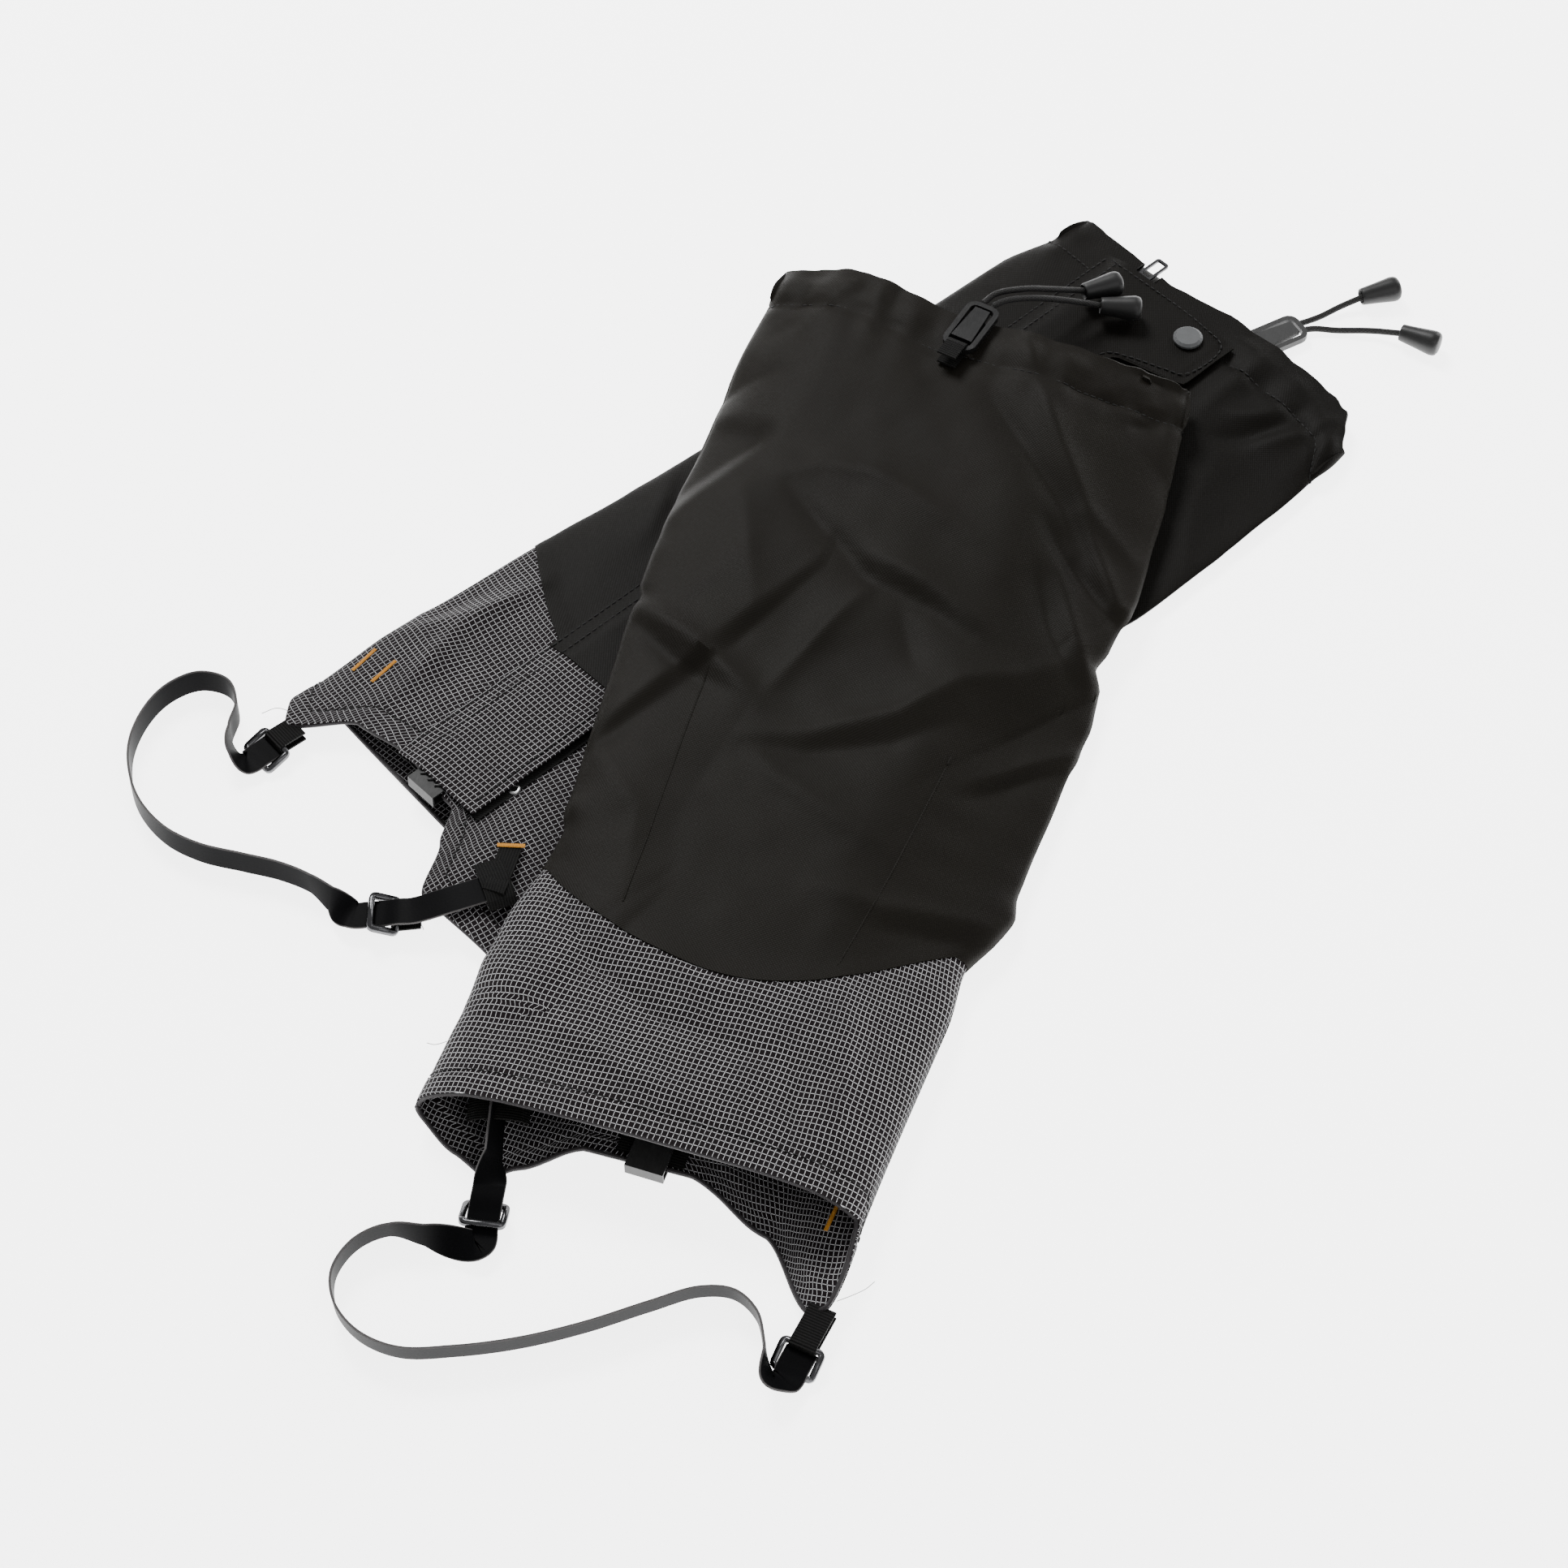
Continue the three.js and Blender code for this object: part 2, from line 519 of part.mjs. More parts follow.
// The storm flap in two cloths, the loop strip that it closes on, and the snap on its tab.
function addFlap(frame, name, tapeEnd) {
  const sewn = CLOTH + 0.1;
  const seam = CUFF_HEIGHT + 2 - CLOSURE_START;
  const flapEnd = tapeEnd + CLOSURE_OVERHANG;
  addMesh(frame, `${name}_flap_cuff`, stormFlap(-CLOSURE_OVERHANG, seam - SEAM_GAP / 2, sewn), 'grid');
  addMesh(frame, `${name}_flap_upper`, upperFlap(seam + SEAM_GAP / 2, flapEnd, sewn), 'cloth');
  const stripLength = tapeEnd - TAB_LENGTH + TAB_TAPER;
  const strip = new THREE.BoxGeometry(LOOP_STRIP_WIDTH, stripLength, LOOP_STRIP_THICKNESS);
  const loops = addMesh(frame, `${name}_loop_strip`, strip, 'webbing');
  const stripLevel = CLOTH / 2 + LAYER_CLEARANCE + LOOP_STRIP_THICKNESS / 2;
  loops.position.set(FLAP_REACH - 8, stripLength / 2 + CLOSURE_START, stripLevel);
  const snapX = TAB_REACH - 18;
  const snapY = tapeEnd - 13;
  const capFace = FLAP_HEIGHT + CLOTH / 2 + LAYER_CLEARANCE;
  const cap = addMesh(frame, `${name}_snap_cap`, disc(SNAP_DIAMETER / 2, capFace, capFace + 2, 0.9), 'steel');
  cap.position.set(snapX, snapY, 0);
  const socketLow = CLOTH / 2 + LAYER_CLEARANCE;
  const socketHigh = FLAP_HEIGHT - CLOTH / 2 - LAYER_CLEARANCE;
  const socket = addMesh(frame, `${name}_snap_socket`, disc(SOCKET_RADIUS, socketLow, socketHigh, 0.4), 'steel');
  socket.position.set(snapX, snapY, 0);
}

// ---- The cord lock ----

// The clamp frame, its lever and the webbing loop that holds it, with y towards the cords' exit.
function addLock(gaiter, parent, webbingLegs) {
  const name = gaiter.name;
  const lock = new THREE.Group();
  parent.add(lock);
  addMesh(lock, `${name}_lock_frame`, ring(LOCK_WIDTH, LOCK_LENGTH, LOCK_RIM, LOCK_THICKNESS, 5), 'gloss');
  const lever = new THREE.Shape();
  const leverLength = LOCK_LENGTH - 2 * LOCK_RIM - 4;
  const wide = LOCK_WIDTH / 2 - LOCK_RIM - 0.5;
  const foot = -leverLength / 2 + 1.6;
  lever.moveTo(-wide, foot);
  lever.lineTo(wide, foot);
  lever.lineTo(wide * 0.72, foot + leverLength - 1);
  lever.lineTo(-wide * 0.72, foot + leverLength - 1);
  const plate = new THREE.ExtrudeGeometry(lever, { depth: 2.4, bevelEnabled: false });
  plate.translate(0, 0, -0.6);
  addMesh(lock, `${name}_lock_lever`, plate, 'gloss');
  const bar = -LOCK_LENGTH / 2 + LOCK_RIM / 2;
  const loop = webbingLoop(LOCK_BAR_RADIUS + BAR_CLEARANCE, webbingLegs, LOCK_WEBBING_WIDTH);
  const webbing = addMesh(lock, `${name}_lock_webbing`, loop, 'webbing');
  webbing.position.set(0, bar, 0);
  return lock;
}

// A strip of webbing folded round a bar that lies along x: open towards -y, its legs of the given length.
function webbingLoop(innerRadius, legs, width) {
  const points = [];
  const outerRadius = innerRadius + WEBBING_THICKNESS;
  const turns = 4;
  points.push([-legs, -outerRadius]);
  for (let i = 0; i <= turns; i += 1) {
    const angle = -Math.PI / 2 + Math.PI * i / turns;
    points.push([outerRadius * Math.cos(angle), outerRadius * Math.sin(angle)]);
  }
  points.push([-legs, outerRadius], [-legs, innerRadius]);
  for (let i = turns; i >= 0; i -= 1) {
    const angle = -Math.PI / 2 + Math.PI * i / turns;
    points.push([innerRadius * Math.cos(angle), innerRadius * Math.sin(angle)]);
  }
  points.push([-legs, -innerRadius]);
  return acrossProfile(points, width);
}

// A moulded cord end: a cone, open at its small mouth, with a domed foot. Its mouth is at the origin, foot at +y.
function cordEnd() {
  const mouth = 3.9;
  const bore = CORD_DIAMETER / 2 + 1.2;
  const profile = [
    [0, 3], [bore, 3], [bore + 0.5, 0], [mouth, 0], [CORD_END_RADIUS, CORD_END_LENGTH * 0.8],
    [CORD_END_RADIUS * 0.82, CORD_END_LENGTH * 0.95], [0, CORD_END_LENGTH],
  ].map(([r, y]) => new THREE.Vector2(r, y));
  return new THREE.LatheGeometry(profile, 14);
}

function addCordEnd(parent, name, mouth, foot) {
  const mesh = addMesh(parent, name, cordEnd(), 'matte');
  const direction = new THREE.Vector3(...foot).sub(new THREE.Vector3(...mouth)).normalize();
  mesh.quaternion.setFromUnitVectors(new THREE.Vector3(0, 1, 0), direction);
  mesh.position.set(...mouth);
}

// ---- The instep strap, its buckles and the webbing that holds them ----

// stops: [x, y, z, stand], where stand is 1 for a strap on its edge and 0 for one that lies flat.
function strap(stops, steps) {
  const path = new THREE.CatmullRomCurve3(stops.map(([x, y, z]) => new THREE.Vector3(x, y, z)), false, 'centripetal');
  const stand = (t) => {
    const spot = THREE.MathUtils.clamp(t, 0, 1) * (stops.length - 1);
    const i = Math.min(Math.floor(spot), stops.length - 2);
    return stops[i][3] + (stops[i + 1][3] - stops[i][3]) * (spot - i);
  };
  return sheet(steps, 1, STRAP_THICKNESS, (u, v) => {
    const t = THREE.MathUtils.clamp(u, 0, 1);
    const overrun = (u - t) * path.getLength();
    const tangent = path.getTangent(t);
    const spot = path.getPoint(t).addScaledVector(tangent, overrun);
    const sideways = new THREE.Vector3(tangent.y, -tangent.x, 0).normalize();
    const upright = new THREE.Vector3().crossVectors(sideways, tangent).normalize();
    const angle = stand(t) * Math.PI / 2;
    const width = sideways.multiplyScalar(-Math.cos(angle)).addScaledVector(upright, Math.sin(angle));
    return spot.addScaledVector(width, (v - 0.5) * STRAP_WIDTH);
  });
}

// The buckle's strap-side bar is up where the strap's tail leaves over the webbing, down where the strap ends.
function addBuckle(gaiter, parent, side, place) {
  const holder = new THREE.Group();
  holder.position.set(...place.middle);
  holder.rotation.z = place.heading * Math.PI / 180;
  parent.add(holder);
  const buckle = addMesh(
    holder, `${gaiter.name}_buckle_${side}`, ring(BUCKLE_LENGTH, BUCKLE_DEPTH, BUCKLE_WIRE, BUCKLE_WIRE, 2.6), 'steel',
  );
  buckle.rotation.x = place.tailSide ? -BUCKLE_TILT : BUCKLE_TILT;
  const reach = BUCKLE_DEPTH / 2 - BUCKLE_WIRE / 2;
  const barY = reach * Math.cos(BUCKLE_TILT);
  const barZ = reach * Math.sin(buckle.rotation.x);
  const ear = new THREE.Vector3(0, place.earDistance - barY, place.earRise - barZ);
  const loop = webbingLoop(BUCKLE_WIRE / 2 + 0.6, ear.length() - 0.6, TAB_WEBBING_WIDTH);
  loop.rotateZ(Math.PI);
  const tab = addMesh(holder, `${gaiter.name}_webbing_tab_${side}`, loop, 'webbing');
  tab.position.set(0, barY, barZ);
  tab.rotation.x = Math.atan2(ear.z, ear.y);
}

// A webbing bridge over the strap's tail.
function addKeeper(gaiter, parent, place) {
  const width = 12;
  const keeper = sheet(8, 1, WEBBING_THICKNESS, (u, v) => {
    const bow = Math.sin(Math.PI * THREE.MathUtils.clamp(u, -0.01, 1.01));
    return new THREE.Vector3((u - 0.5) * place.span, (v - 0.5) * width, place.rise * Math.max(bow, 0) ** 0.6);
  });
  const mesh = addMesh(parent, `${gaiter.name}_strap_keeper`, keeper, 'webbing');
  mesh.position.set(...place.middle);
  mesh.rotation.z = place.heading * Math.PI / 180;
}

// ---- One gaiter ----

function addPanels(gaiter, parent) {
  const name = gaiter.name;
  addMesh(parent, `${name}_calf_panel`, upperPanel(gaiter, 'calf', 0, [14, 9]), 'cloth');
  addMesh(parent, `${name}_front_panel_left`, upperPanel(gaiter, 'front', -1, [10, 9]), 'cloth');
  addMesh(parent, `${name}_front_panel_right`, upperPanel(gaiter, 'front', 1, [10, 9]), 'cloth');
  addMesh(parent, `${name}_cuff_calf`, cuffPanel(gaiter, 'calf', 0, [14, 4]), 'grid');
  addMesh(parent, `${name}_cuff_front_left`, cuffPanel(gaiter, 'front', -1, [10, 4]), 'grid');
  addMesh(parent, `${name}_cuff_front_right`, cuffPanel(gaiter, 'front', 1, [10, 4]), 'grid');
  addMesh(parent, `${name}_drawcord`, drawcord(gaiter), 'cord');
}

const overGroup = new THREE.Group();
const underGroup = new THREE.Group();
underGroup.position.set(UNDER_HEM.x, UNDER_HEM.y, 0);
underGroup.rotation.z = -UNDER_TURN;
pair.add(overGroup, underGroup);

for (const [gaiter, parent] of [[over, overGroup], [under, underGroup]]) {
  addPanels(gaiter, parent);
  parent.add(addClosure(gaiter));
}

// The over gaiter's lock lies on its calf panel, and the under gaiter's pokes out from below its top edge.
const overLock = addLock(over, overGroup, 9);
const lockFace = over.calf(3, 430) + over.lift(3, 430) + CLOTH / 2;
const lockRise = LOCK_BAR_RADIUS + BAR_CLEARANCE + WEBBING_THICKNESS + 0.4;
overLock.position.set(3, 444, lockFace + lockRise);
overLock.rotation.z = -12 * Math.PI / 180;
const underLock = addLock(under, underGroup, 4);
underLock.position.set(17, 459, 3.4);
underLock.rotation.z = -10 * Math.PI / 180;

const overCords = [
  { route: [[4.2, 459.8, 40], [8, 466, 41], [19, 475, 39], [31, 486, 32], [43, 499, 22.5]], foot: [59, 513, 21] },
  { route: [[8.6, 459.3, 40], [14, 464, 40.8], [25, 472, 38], [39, 482, 31], [53, 492, 22.5]], foot: [70, 497, 21] },
];
const underCords = [
  { route: [[17.9, 474.8, 3], [18.6, 479, 2.4], [20, 486, 2.2], [22, 496, 3.5], [26, 508, 6]], foot: [33, 526, 6.2] },
  { route: [[22.2, 474, 3], [24.6, 478.5, 2.4], [31, 485, 2.2], [42, 496, 3.5], [55, 505, 6]], foot: [73, 513, 6.2] },
];
for (const [gaiter, parent, cords] of [[over, overGroup, overCords], [under, underGroup, underCords]]) {
  cords.forEach((cord, i) => {
    addMesh(parent, `${gaiter.name}_cord_tail_${i + 1}`, cordTube(cord.route, CORD_DIAMETER, 14), 'cord');
    const last = new THREE.Vector3(...cord.route[cord.route.length - 1]);
    const along = new THREE.Vector3(...cord.foot).sub(last).normalize();
    const mouth = last.clone().addScaledVector(along, -2.4);
    addCordEnd(parent, `${gaiter.name}_cord_end_${i + 1}`, mouth.toArray(), cord.foot);
  });
}

// Buckles: where each lies, which way its webbing leads, and how far away and how high the ear of the cuff is.
const overLeft = { middle: [-48, -38, 6], heading: 10, earDistance: 18, earRise: -1, tailSide: true };
const overRight = { middle: [86, -60, 4.2], heading: -8, earDistance: 23, earRise: 2, tailSide: false };
const underLeft = { middle: [-76, -35, 4.2], heading: 0, earDistance: 17, earRise: 2, tailSide: false };
const underRight = { middle: [26, -48, 7], heading: -40, earDistance: 15.5, earRise: 0, tailSide: true };
addBuckle(over, overGroup, 'left', overLeft);
addBuckle(over, overGroup, 'right', overRight);
addBuckle(under, underGroup, 'left', underLeft);
addBuckle(under, underGroup, 'right', underRight);

// A stop on the strap beside a buckle, so far from its middle on the side away from the webbing.
function besideBuckle(place, along, above, stand) {
  const heading = place.heading * Math.PI / 180;
  const [x, y, z] = place.middle;
  return [x + along * Math.sin(heading), y - along * Math.cos(heading), z + above, stand];
}

const onEdge = STRAP_WIDTH / 2 + 0.4;

function strapStops(startBuckle, route, tailBuckle, tail) {
  return [
    besideBuckle(startBuckle, -1, 0, 0), besideBuckle(startBuckle, 4, 0, 0), besideBuckle(startBuckle, 10, 0.1, 0),
    ...route.map(([x, y, stand]) => [x, y, onEdge, stand]),
    besideBuckle(tailBuckle, 13, -0.8, 0), besideBuckle(tailBuckle, 6, -0.5, 0), besideBuckle(tailBuckle, 0, 0.4, 0),
    besideBuckle(tailBuckle, -6, 1.9, 0), besideBuckle(tailBuckle, -12, 2.6, 0), ...tail,
  ];
}

const overRoute = [
  [80, -73, 0.5], [74, -62, 1], [66, -48, 1], [55, -42, 1], [42, -45, 1], [26, -57, 1], [6, -73, 1], [-15, -87, 1],
  [-37, -98, 1], [-57, -105, 1], [-74, -103, 1], [-87, -94, 1], [-93, -81, 1], [-90, -66, 1], [-80, -56, 1],
  [-66, -54, 0.8],
];
const overStops = strapStops(overRight, overRoute, overLeft, [[-53, -14, 10, 0], [-57, 0, 11, 0], [-60, 14, 12, 0]]);
addMesh(overGroup, 'over_instep_strap', strap(overStops, 64), 'strap');
const underRoute = [
  [-81, -47, 0.6], [-91, -43, 1], [-100, -33, 1], [-112, -29, 1], [-123, -36, 1], [-126, -50, 1], [-121, -66, 1],
  [-108, -82, 1], [-86, -93, 1], [-65, -94, 1], [-48, -88, 1], [-32, -77, 1], [-19, -68, 1], [-6, -62, 1],
  [6, -60, 0.8],
];
const underStops = strapStops(underLeft, underRoute, underRight, [[41, -24, 12.4, 0], [46, -10, 12.8, 0], [50, 4, 12.4, 0]]);
addMesh(underGroup, 'under_instep_strap', strap(underStops, 64), 'strap');

addKeeper(over, overGroup, { middle: [-58, 6, 11], heading: 15, span: 24, rise: 3 });
addKeeper(under, underGroup, { middle: [46, -6, 12], heading: -20, span: 24, rise: 3 });

export default pair;
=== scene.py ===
# %% [markdown]
# # A pair of knee-length gaiters
# Two mountaineering gaiters lie crossed on a floor. The over gaiter shows its calf side, and the under gaiter
# its zip side. This lesson dresses the plain CAD model in cloth, webbing, rubber and metal.
# The CAD model gives every place and size, so the first step is to load it and to keep its box.

import math

import bpy
import numpy as np
from mathutils import Matrix, Vector


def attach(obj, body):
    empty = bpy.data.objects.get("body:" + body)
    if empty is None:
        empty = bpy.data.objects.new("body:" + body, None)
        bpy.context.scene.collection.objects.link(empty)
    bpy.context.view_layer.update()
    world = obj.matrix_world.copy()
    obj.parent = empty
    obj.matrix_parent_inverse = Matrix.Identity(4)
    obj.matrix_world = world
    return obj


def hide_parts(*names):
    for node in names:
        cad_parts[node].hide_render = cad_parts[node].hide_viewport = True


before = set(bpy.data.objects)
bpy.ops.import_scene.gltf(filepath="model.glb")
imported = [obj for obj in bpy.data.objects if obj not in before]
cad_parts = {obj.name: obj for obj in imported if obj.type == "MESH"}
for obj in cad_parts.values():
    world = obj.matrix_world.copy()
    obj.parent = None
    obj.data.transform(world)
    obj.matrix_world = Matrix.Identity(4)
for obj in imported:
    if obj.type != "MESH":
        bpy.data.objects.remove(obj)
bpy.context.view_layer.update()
MM = 0.001

# %% [markdown]
# ## Camera
# The pair is seen from a standing person's height, past a long lens that flattens perspective. The camera is aimed
# by turning it along the line from where it stands to the spot it looks at.

# %% Camera
AIM = Vector((0.0357, -0.0274, 0.0))
STAND = Vector((0.3635, -1.0279, 1.3475))
lens = bpy.data.cameras.new("camera")
lens.lens, lens.sensor_width = 93.82, 36
camera = bpy.data.objects.new("camera", lens)
camera.location = STAND
camera.rotation_euler = (AIM - STAND).to_track_quat("-Z", "Y").to_euler()
bpy.context.scene.collection.objects.link(camera)
bpy.context.scene.camera = camera

# %% [markdown]
# ## Selecting by name
# An operator acts on all that is selected, and loading leaves the CAD pieces selected. Two small helpers
# clear the selection and pick one piece, so that each later step touches only what it means to.

# %% Helpers for selecting
def deselect():
    for item in bpy.context.selected_objects:
        item.select_set(False)


def choose(piece):
    deselect()
    piece.select_set(True)
    bpy.context.view_layer.objects.active = piece


# %% [markdown]
# ## Floor and lights
# The floor is one plain sheet that glows a little, as a white studio table looks under strong light.
# A key light from behind on the left shapes the folds, and a weak fill and a rim light keep the black cloth readable.

# %% Floor and lights
deselect()
FLOOR_SIZE = 24
bpy.ops.mesh.primitive_plane_add(size=FLOOR_SIZE, location=(0, 0, 0))
floor = bpy.context.object
floor.name = "floor"
paint = bpy.data.materials.new("pale floor")
paint.use_nodes = True
FLOOR_LOOK = {"Base Color": (0.97, 0.97, 0.97, 1), "Roughness": 0.9, "Emission Color": (1, 1, 1, 1),
              "Emission Strength": 4.2}
for socket, value in FLOOR_LOOK.items():
    paint.node_tree.nodes["Principled BSDF"].inputs[socket].default_value = value
floor.data.materials.append(paint)


def soft_light(name, place, size, power):
    lamp = bpy.data.lights.new(name, "AREA")
    lamp.shape = "DISK"
    lamp.size = size
    lamp.energy = power
    holder = bpy.data.objects.new(name, lamp)
    holder.location = place
    holder.rotation_euler = (-Vector(place)).to_track_quat("-Z", "Y").to_euler()
    bpy.context.scene.collection.objects.link(holder)


soft_light("key light", (-1.0, 1.3, 1.8), 0.9, 62)
soft_light("fill light", (1.5, -0.9, 1.6), 1.6, 12)
soft_light("rim light", (0.9, 1.9, 0.8), 0.8, 14)
world = bpy.data.worlds.new("studio")
world.use_nodes = True
sky = world.node_tree.nodes["Background"].inputs
sky["Color"].default_value, sky["Strength"].default_value = (1, 1, 1, 1), 0.55
bpy.context.scene.world = world
print("camera and lights are in place")

# %% [markdown]
# ## Wiring a finish
# A material is a network of nodes. Sums on the surface read best as Python expressions, so one small class wraps
# a socket and turns + - * / into Math nodes, and one method of the finish adds any other node.

# %% A value on the surface
class Value:
    def __init__(self, finish, socket):
        self.finish = finish
        self.socket = socket

    def sum(self, operation, *others, swap=False):
        values = (self, *others)
        return self.finish.add("ShaderNodeMath", {"operation": operation}, list(reversed(values)) if swap else values)

    def __add__(self, other):
        return self.sum("ADD", other)

    def __sub__(self, other):
        return self.sum("SUBTRACT", other)

    def __rsub__(self, other):
        return self.sum("SUBTRACT", other, swap=True)

    def __mul__(self, other):
        return self.sum("MULTIPLY", other)

    def __truediv__(self, other):
        return self.sum("DIVIDE", other)

    __radd__ = __add__
    __rmul__ = __mul__


# %% [markdown]
# ## One method for every node
# A finish holds its shader and adds nodes through one method, so that each recipe below reads as a short list.
# Values that are the same all over are set on the shader itself; only what changes over the surface is linked.

# %% A finish
class Finish:
    """A material being wired: its nodes, its shader, and one method that adds any node."""

    def __init__(self, name, **constants):
        self.material = bpy.data.materials.new(name)
        self.material.use_nodes = True
        self.nodes = self.material.node_tree.nodes
        self.shader = self.nodes["Principled BSDF"]
        for socket, value in constants.items():
            self.shader.inputs[socket.replace("_", " ")].default_value = value

    def add(self, kind, settings=None, inputs=(), out=0):
        node = self.nodes.new(kind)
        for key, value in (settings or {}).items():
            setattr(node, key, value)
        pairs = inputs.items() if isinstance(inputs, dict) else enumerate(inputs)
        for key, value in pairs:
            self.plug(value, node.inputs[key])
        return Value(self, node.outputs[out])

    def plug(self, value, socket):
        if isinstance(value, Value):
            self.material.node_tree.links.new(value.socket, socket)
        else:
            socket.default_value = value

    def feed(self, socket, value):
        self.plug(value, self.shader.inputs[socket])

    def mix(self, share, first, second):
        return self.add("ShaderNodeMix", {"data_type": "RGBA"}, {0: share, 6: first, 7: second}, out=2)

    def noise(self, place, size, detail):
        return self.add("ShaderNodeTexNoise", None, {"Vector": place, "Scale": 1 / size, "Detail": detail})

    def bump(self, height, distance, strength):
        return self.add("ShaderNodeBump", None, {"Height": height, "Distance": distance, "Strength": strength})

    def split(self, vector):
        return [self.add("ShaderNodeSeparateXYZ", None, [vector], out=i) for i in range(3)]

    def cloth_place(self):
        return self.add("ShaderNodeUVMap", {"uv_map": "cloth"})

    def object_place(self):
        return self.add("ShaderNodeTexCoord", None, out=3)

# %% [markdown]
# ## Two curves for patterns
# A pattern needs a soft step, to give a line its edge, and a wave, to repeat it at a pitch.

# %% Shaping a value
def smooth(value, low, high):
    """0 below low, 1 above high, and eased between."""
    settings = {"interpolation_type": "SMOOTHSTEP"}
    return value.finish.add("ShaderNodeMapRange", settings, {0: value, 1: low, 2: high, 3: 0.0, 4: 1.0})


def wave(value, pitch):
    """How far a value is from the nearest whole pitch, as a share: 0 on it and 1 halfway."""
    return (value / pitch).sum("PINGPONG", 0.5) * 2


# %% [markdown]
# ## Cloths
# The upper is a tight, matt, softly napped nylon. Its threads are far finer than the eye sees from here, so a faint
# mottle in tone and roughness and a fine bump stand for them, with sheen for the nap.
# The cuff is a tough dark weave with pale thicker threads that cross in a grid of about two millimetres.
# Every sheet carries a map of its flat cloth in metres, so that both patterns keep their scale and follow the folds.

# %% Upper cloth
def weave(finish, place, pitch):
    """The height of a plain weave: threads that pass over and under each other."""
    u, v, _ = finish.split(place)
    return (u / pitch * math.pi).sum("SINE") * (v / pitch * math.pi).sum("SINE")


UPPER_TONES = ((0.0038, 0.0031, 0.0021), (0.0074, 0.0063, 0.0046))
THREADS_APART = 0.0007


def upper_cloth(name, shade):
    """shade scales the tone: the under gaiter's copy is darker, as painted shade."""
    finish = Finish(name, Sheen_Weight=0.012, Sheen_Roughness=0.4, Specular_IOR_Level=0.07)
    place = finish.cloth_place()
    patches = finish.noise(place, 0.045, 3)
    grain = finish.noise(place, 0.0011, 2)
    tone = patches * 0.6 + grain * 0.4
    low, high = [(r * shade, g * shade, b * shade, 1) for r, g, b in UPPER_TONES]
    finish.feed("Base Color", finish.mix(tone, low, high))
    finish.feed("Roughness", 0.46 + grain * 0.16)
    finish.feed("Normal", finish.bump(weave(finish, place, THREADS_APART) * 0.5 + grain, 0.00012, 0.6))
    return finish.material


# %% [markdown]
# ## The cuff's grid cloth
# Pale threads cross a dark weave at 2.2 by 2.6 millimetres. Each dips at the crossings, so its line is broken into
# dashes. A slow noise bends the lines, since no cloth keeps its grid straight once it has been sewn and worn.

# %% Cuff cloth
GRID_AROUND = 0.0022
GRID_ALONG = 0.0026
GROUND_TONES = ((0.0024, 0.0015, 0.0019, 1), (0.0120, 0.0082, 0.0096, 1))
PALE_GREYS = (0.40, 0.78)


def cuff_cloth(name, shade, grain):
    """shade scales the tone, as painted shade on the under gaiter, and grain turns the threads to the way the panel was
    cut.
    """
    finish = Finish(name, Sheen_Weight=0.01, Specular_IOR_Level=0.08)
    place = finish.cloth_place()
    x, y, _ = finish.split(place)
    cosine, sine = math.cos(grain), math.sin(grain)
    u = x * cosine - y * sine + finish.noise(place, 0.03, 2) * 0.003
    v = x * sine + y * cosine + finish.noise(place, 0.045, 2) * 0.005 + GRID_ALONG * 0.3
    across = 1 - smooth(wave(u, GRID_AROUND), 0.045, 0.17)
    along = 1 - smooth(wave(v, GRID_ALONG), 0.04, 0.15)
    dash_across = smooth(wave(v, GRID_ALONG), 0.02, 0.30)
    dash_along = smooth(wave(u, GRID_AROUND), 0.02, 0.30)
    thread = (across * dash_across).sum("MAXIMUM", along * dash_along)
    crossing = across * along
    fibre = finish.noise(place, 0.0006, 2)
    mottle = finish.noise(place, 0.012, 3)
    ground = finish.mix(fibre, *GROUND_TONES)
    low, high = [(grey * shade, grey * shade, grey * shade * 1.02, 1) for grey in PALE_GREYS]
    pale = finish.mix(mottle, low, high)
    finish.feed("Base Color", finish.mix(thread * (0.72 + fibre * 0.4), ground, pale))
    finish.feed("Roughness", 0.75 - thread * 0.2)
    finish.feed("Normal", finish.bump(thread + crossing * 0.5 + fibre * 0.4, 0.00022, 0.8))
    return finish.material


# Each gaiter gets its own copy of each cloth, differing only in tone: the under gaiter's copies, its flap included, are
# darker as painted shade.
UPPERS = {"over": upper_cloth("upper cloth", 1.18), "under": upper_cloth("shaded upper cloth", 0.6)}
WORN_GRAIN = math.radians(-9)
CUFFS = {"over": cuff_cloth("cuff cloth", 1.15, 0.0), "under": cuff_cloth("shaded cuff cloth", 0.9, WORN_GRAIN)}
FLAPS = {"over": CUFFS["over"], "under": cuff_cloth("flap cloth", 0.9, 0.0)}
print("cloth finishes:", *UPPERS, *CUFFS)

# %% [markdown]
# ## The form of a gaiter
# A gaiter is one tube of cloth, slit by its zip. It lies flat, so a cut across it is a flattened loop.
# An angle runs round that loop: 0 at the middle of the calf, a quarter turn at each side fold, and on to the zip.
# The outlines repeat the CAD model's own, in millimetres, in a frame with x across and y from hem to top.

# %% Outlines
def rise(low, high, value):
    share = np.clip((np.asarray(value, float) - low) / (high - low), 0, 1)
    return share * share * (3 - 2 * share)


def outline(points):
    """A smooth line through a few points, read by its first coordinate."""
    xs, ys = np.array(points, float).T

    def at(x):
        x = np.clip(np.asarray(x, float), xs[0], xs[-1])
        i = np.clip(np.searchsorted(xs, x, side="right") - 1, 0, len(xs) - 2)
        share = (x - xs[i]) / (xs[i + 1] - xs[i])
        return ys[i] + (ys[i + 1] - ys[i]) * 0.5 * (share + rise(0, 1, share))

    return at


CLOTH = 0.8
LENGTH = 452
CUFF_HEIGHT = 88
HEM_HALF_WIDTH = 91
HEM_DEPTH = 22
half_width = outline([[-40, 91], [0, 91], [120, 91], [330, 101], [400, 101], [472, 95]])


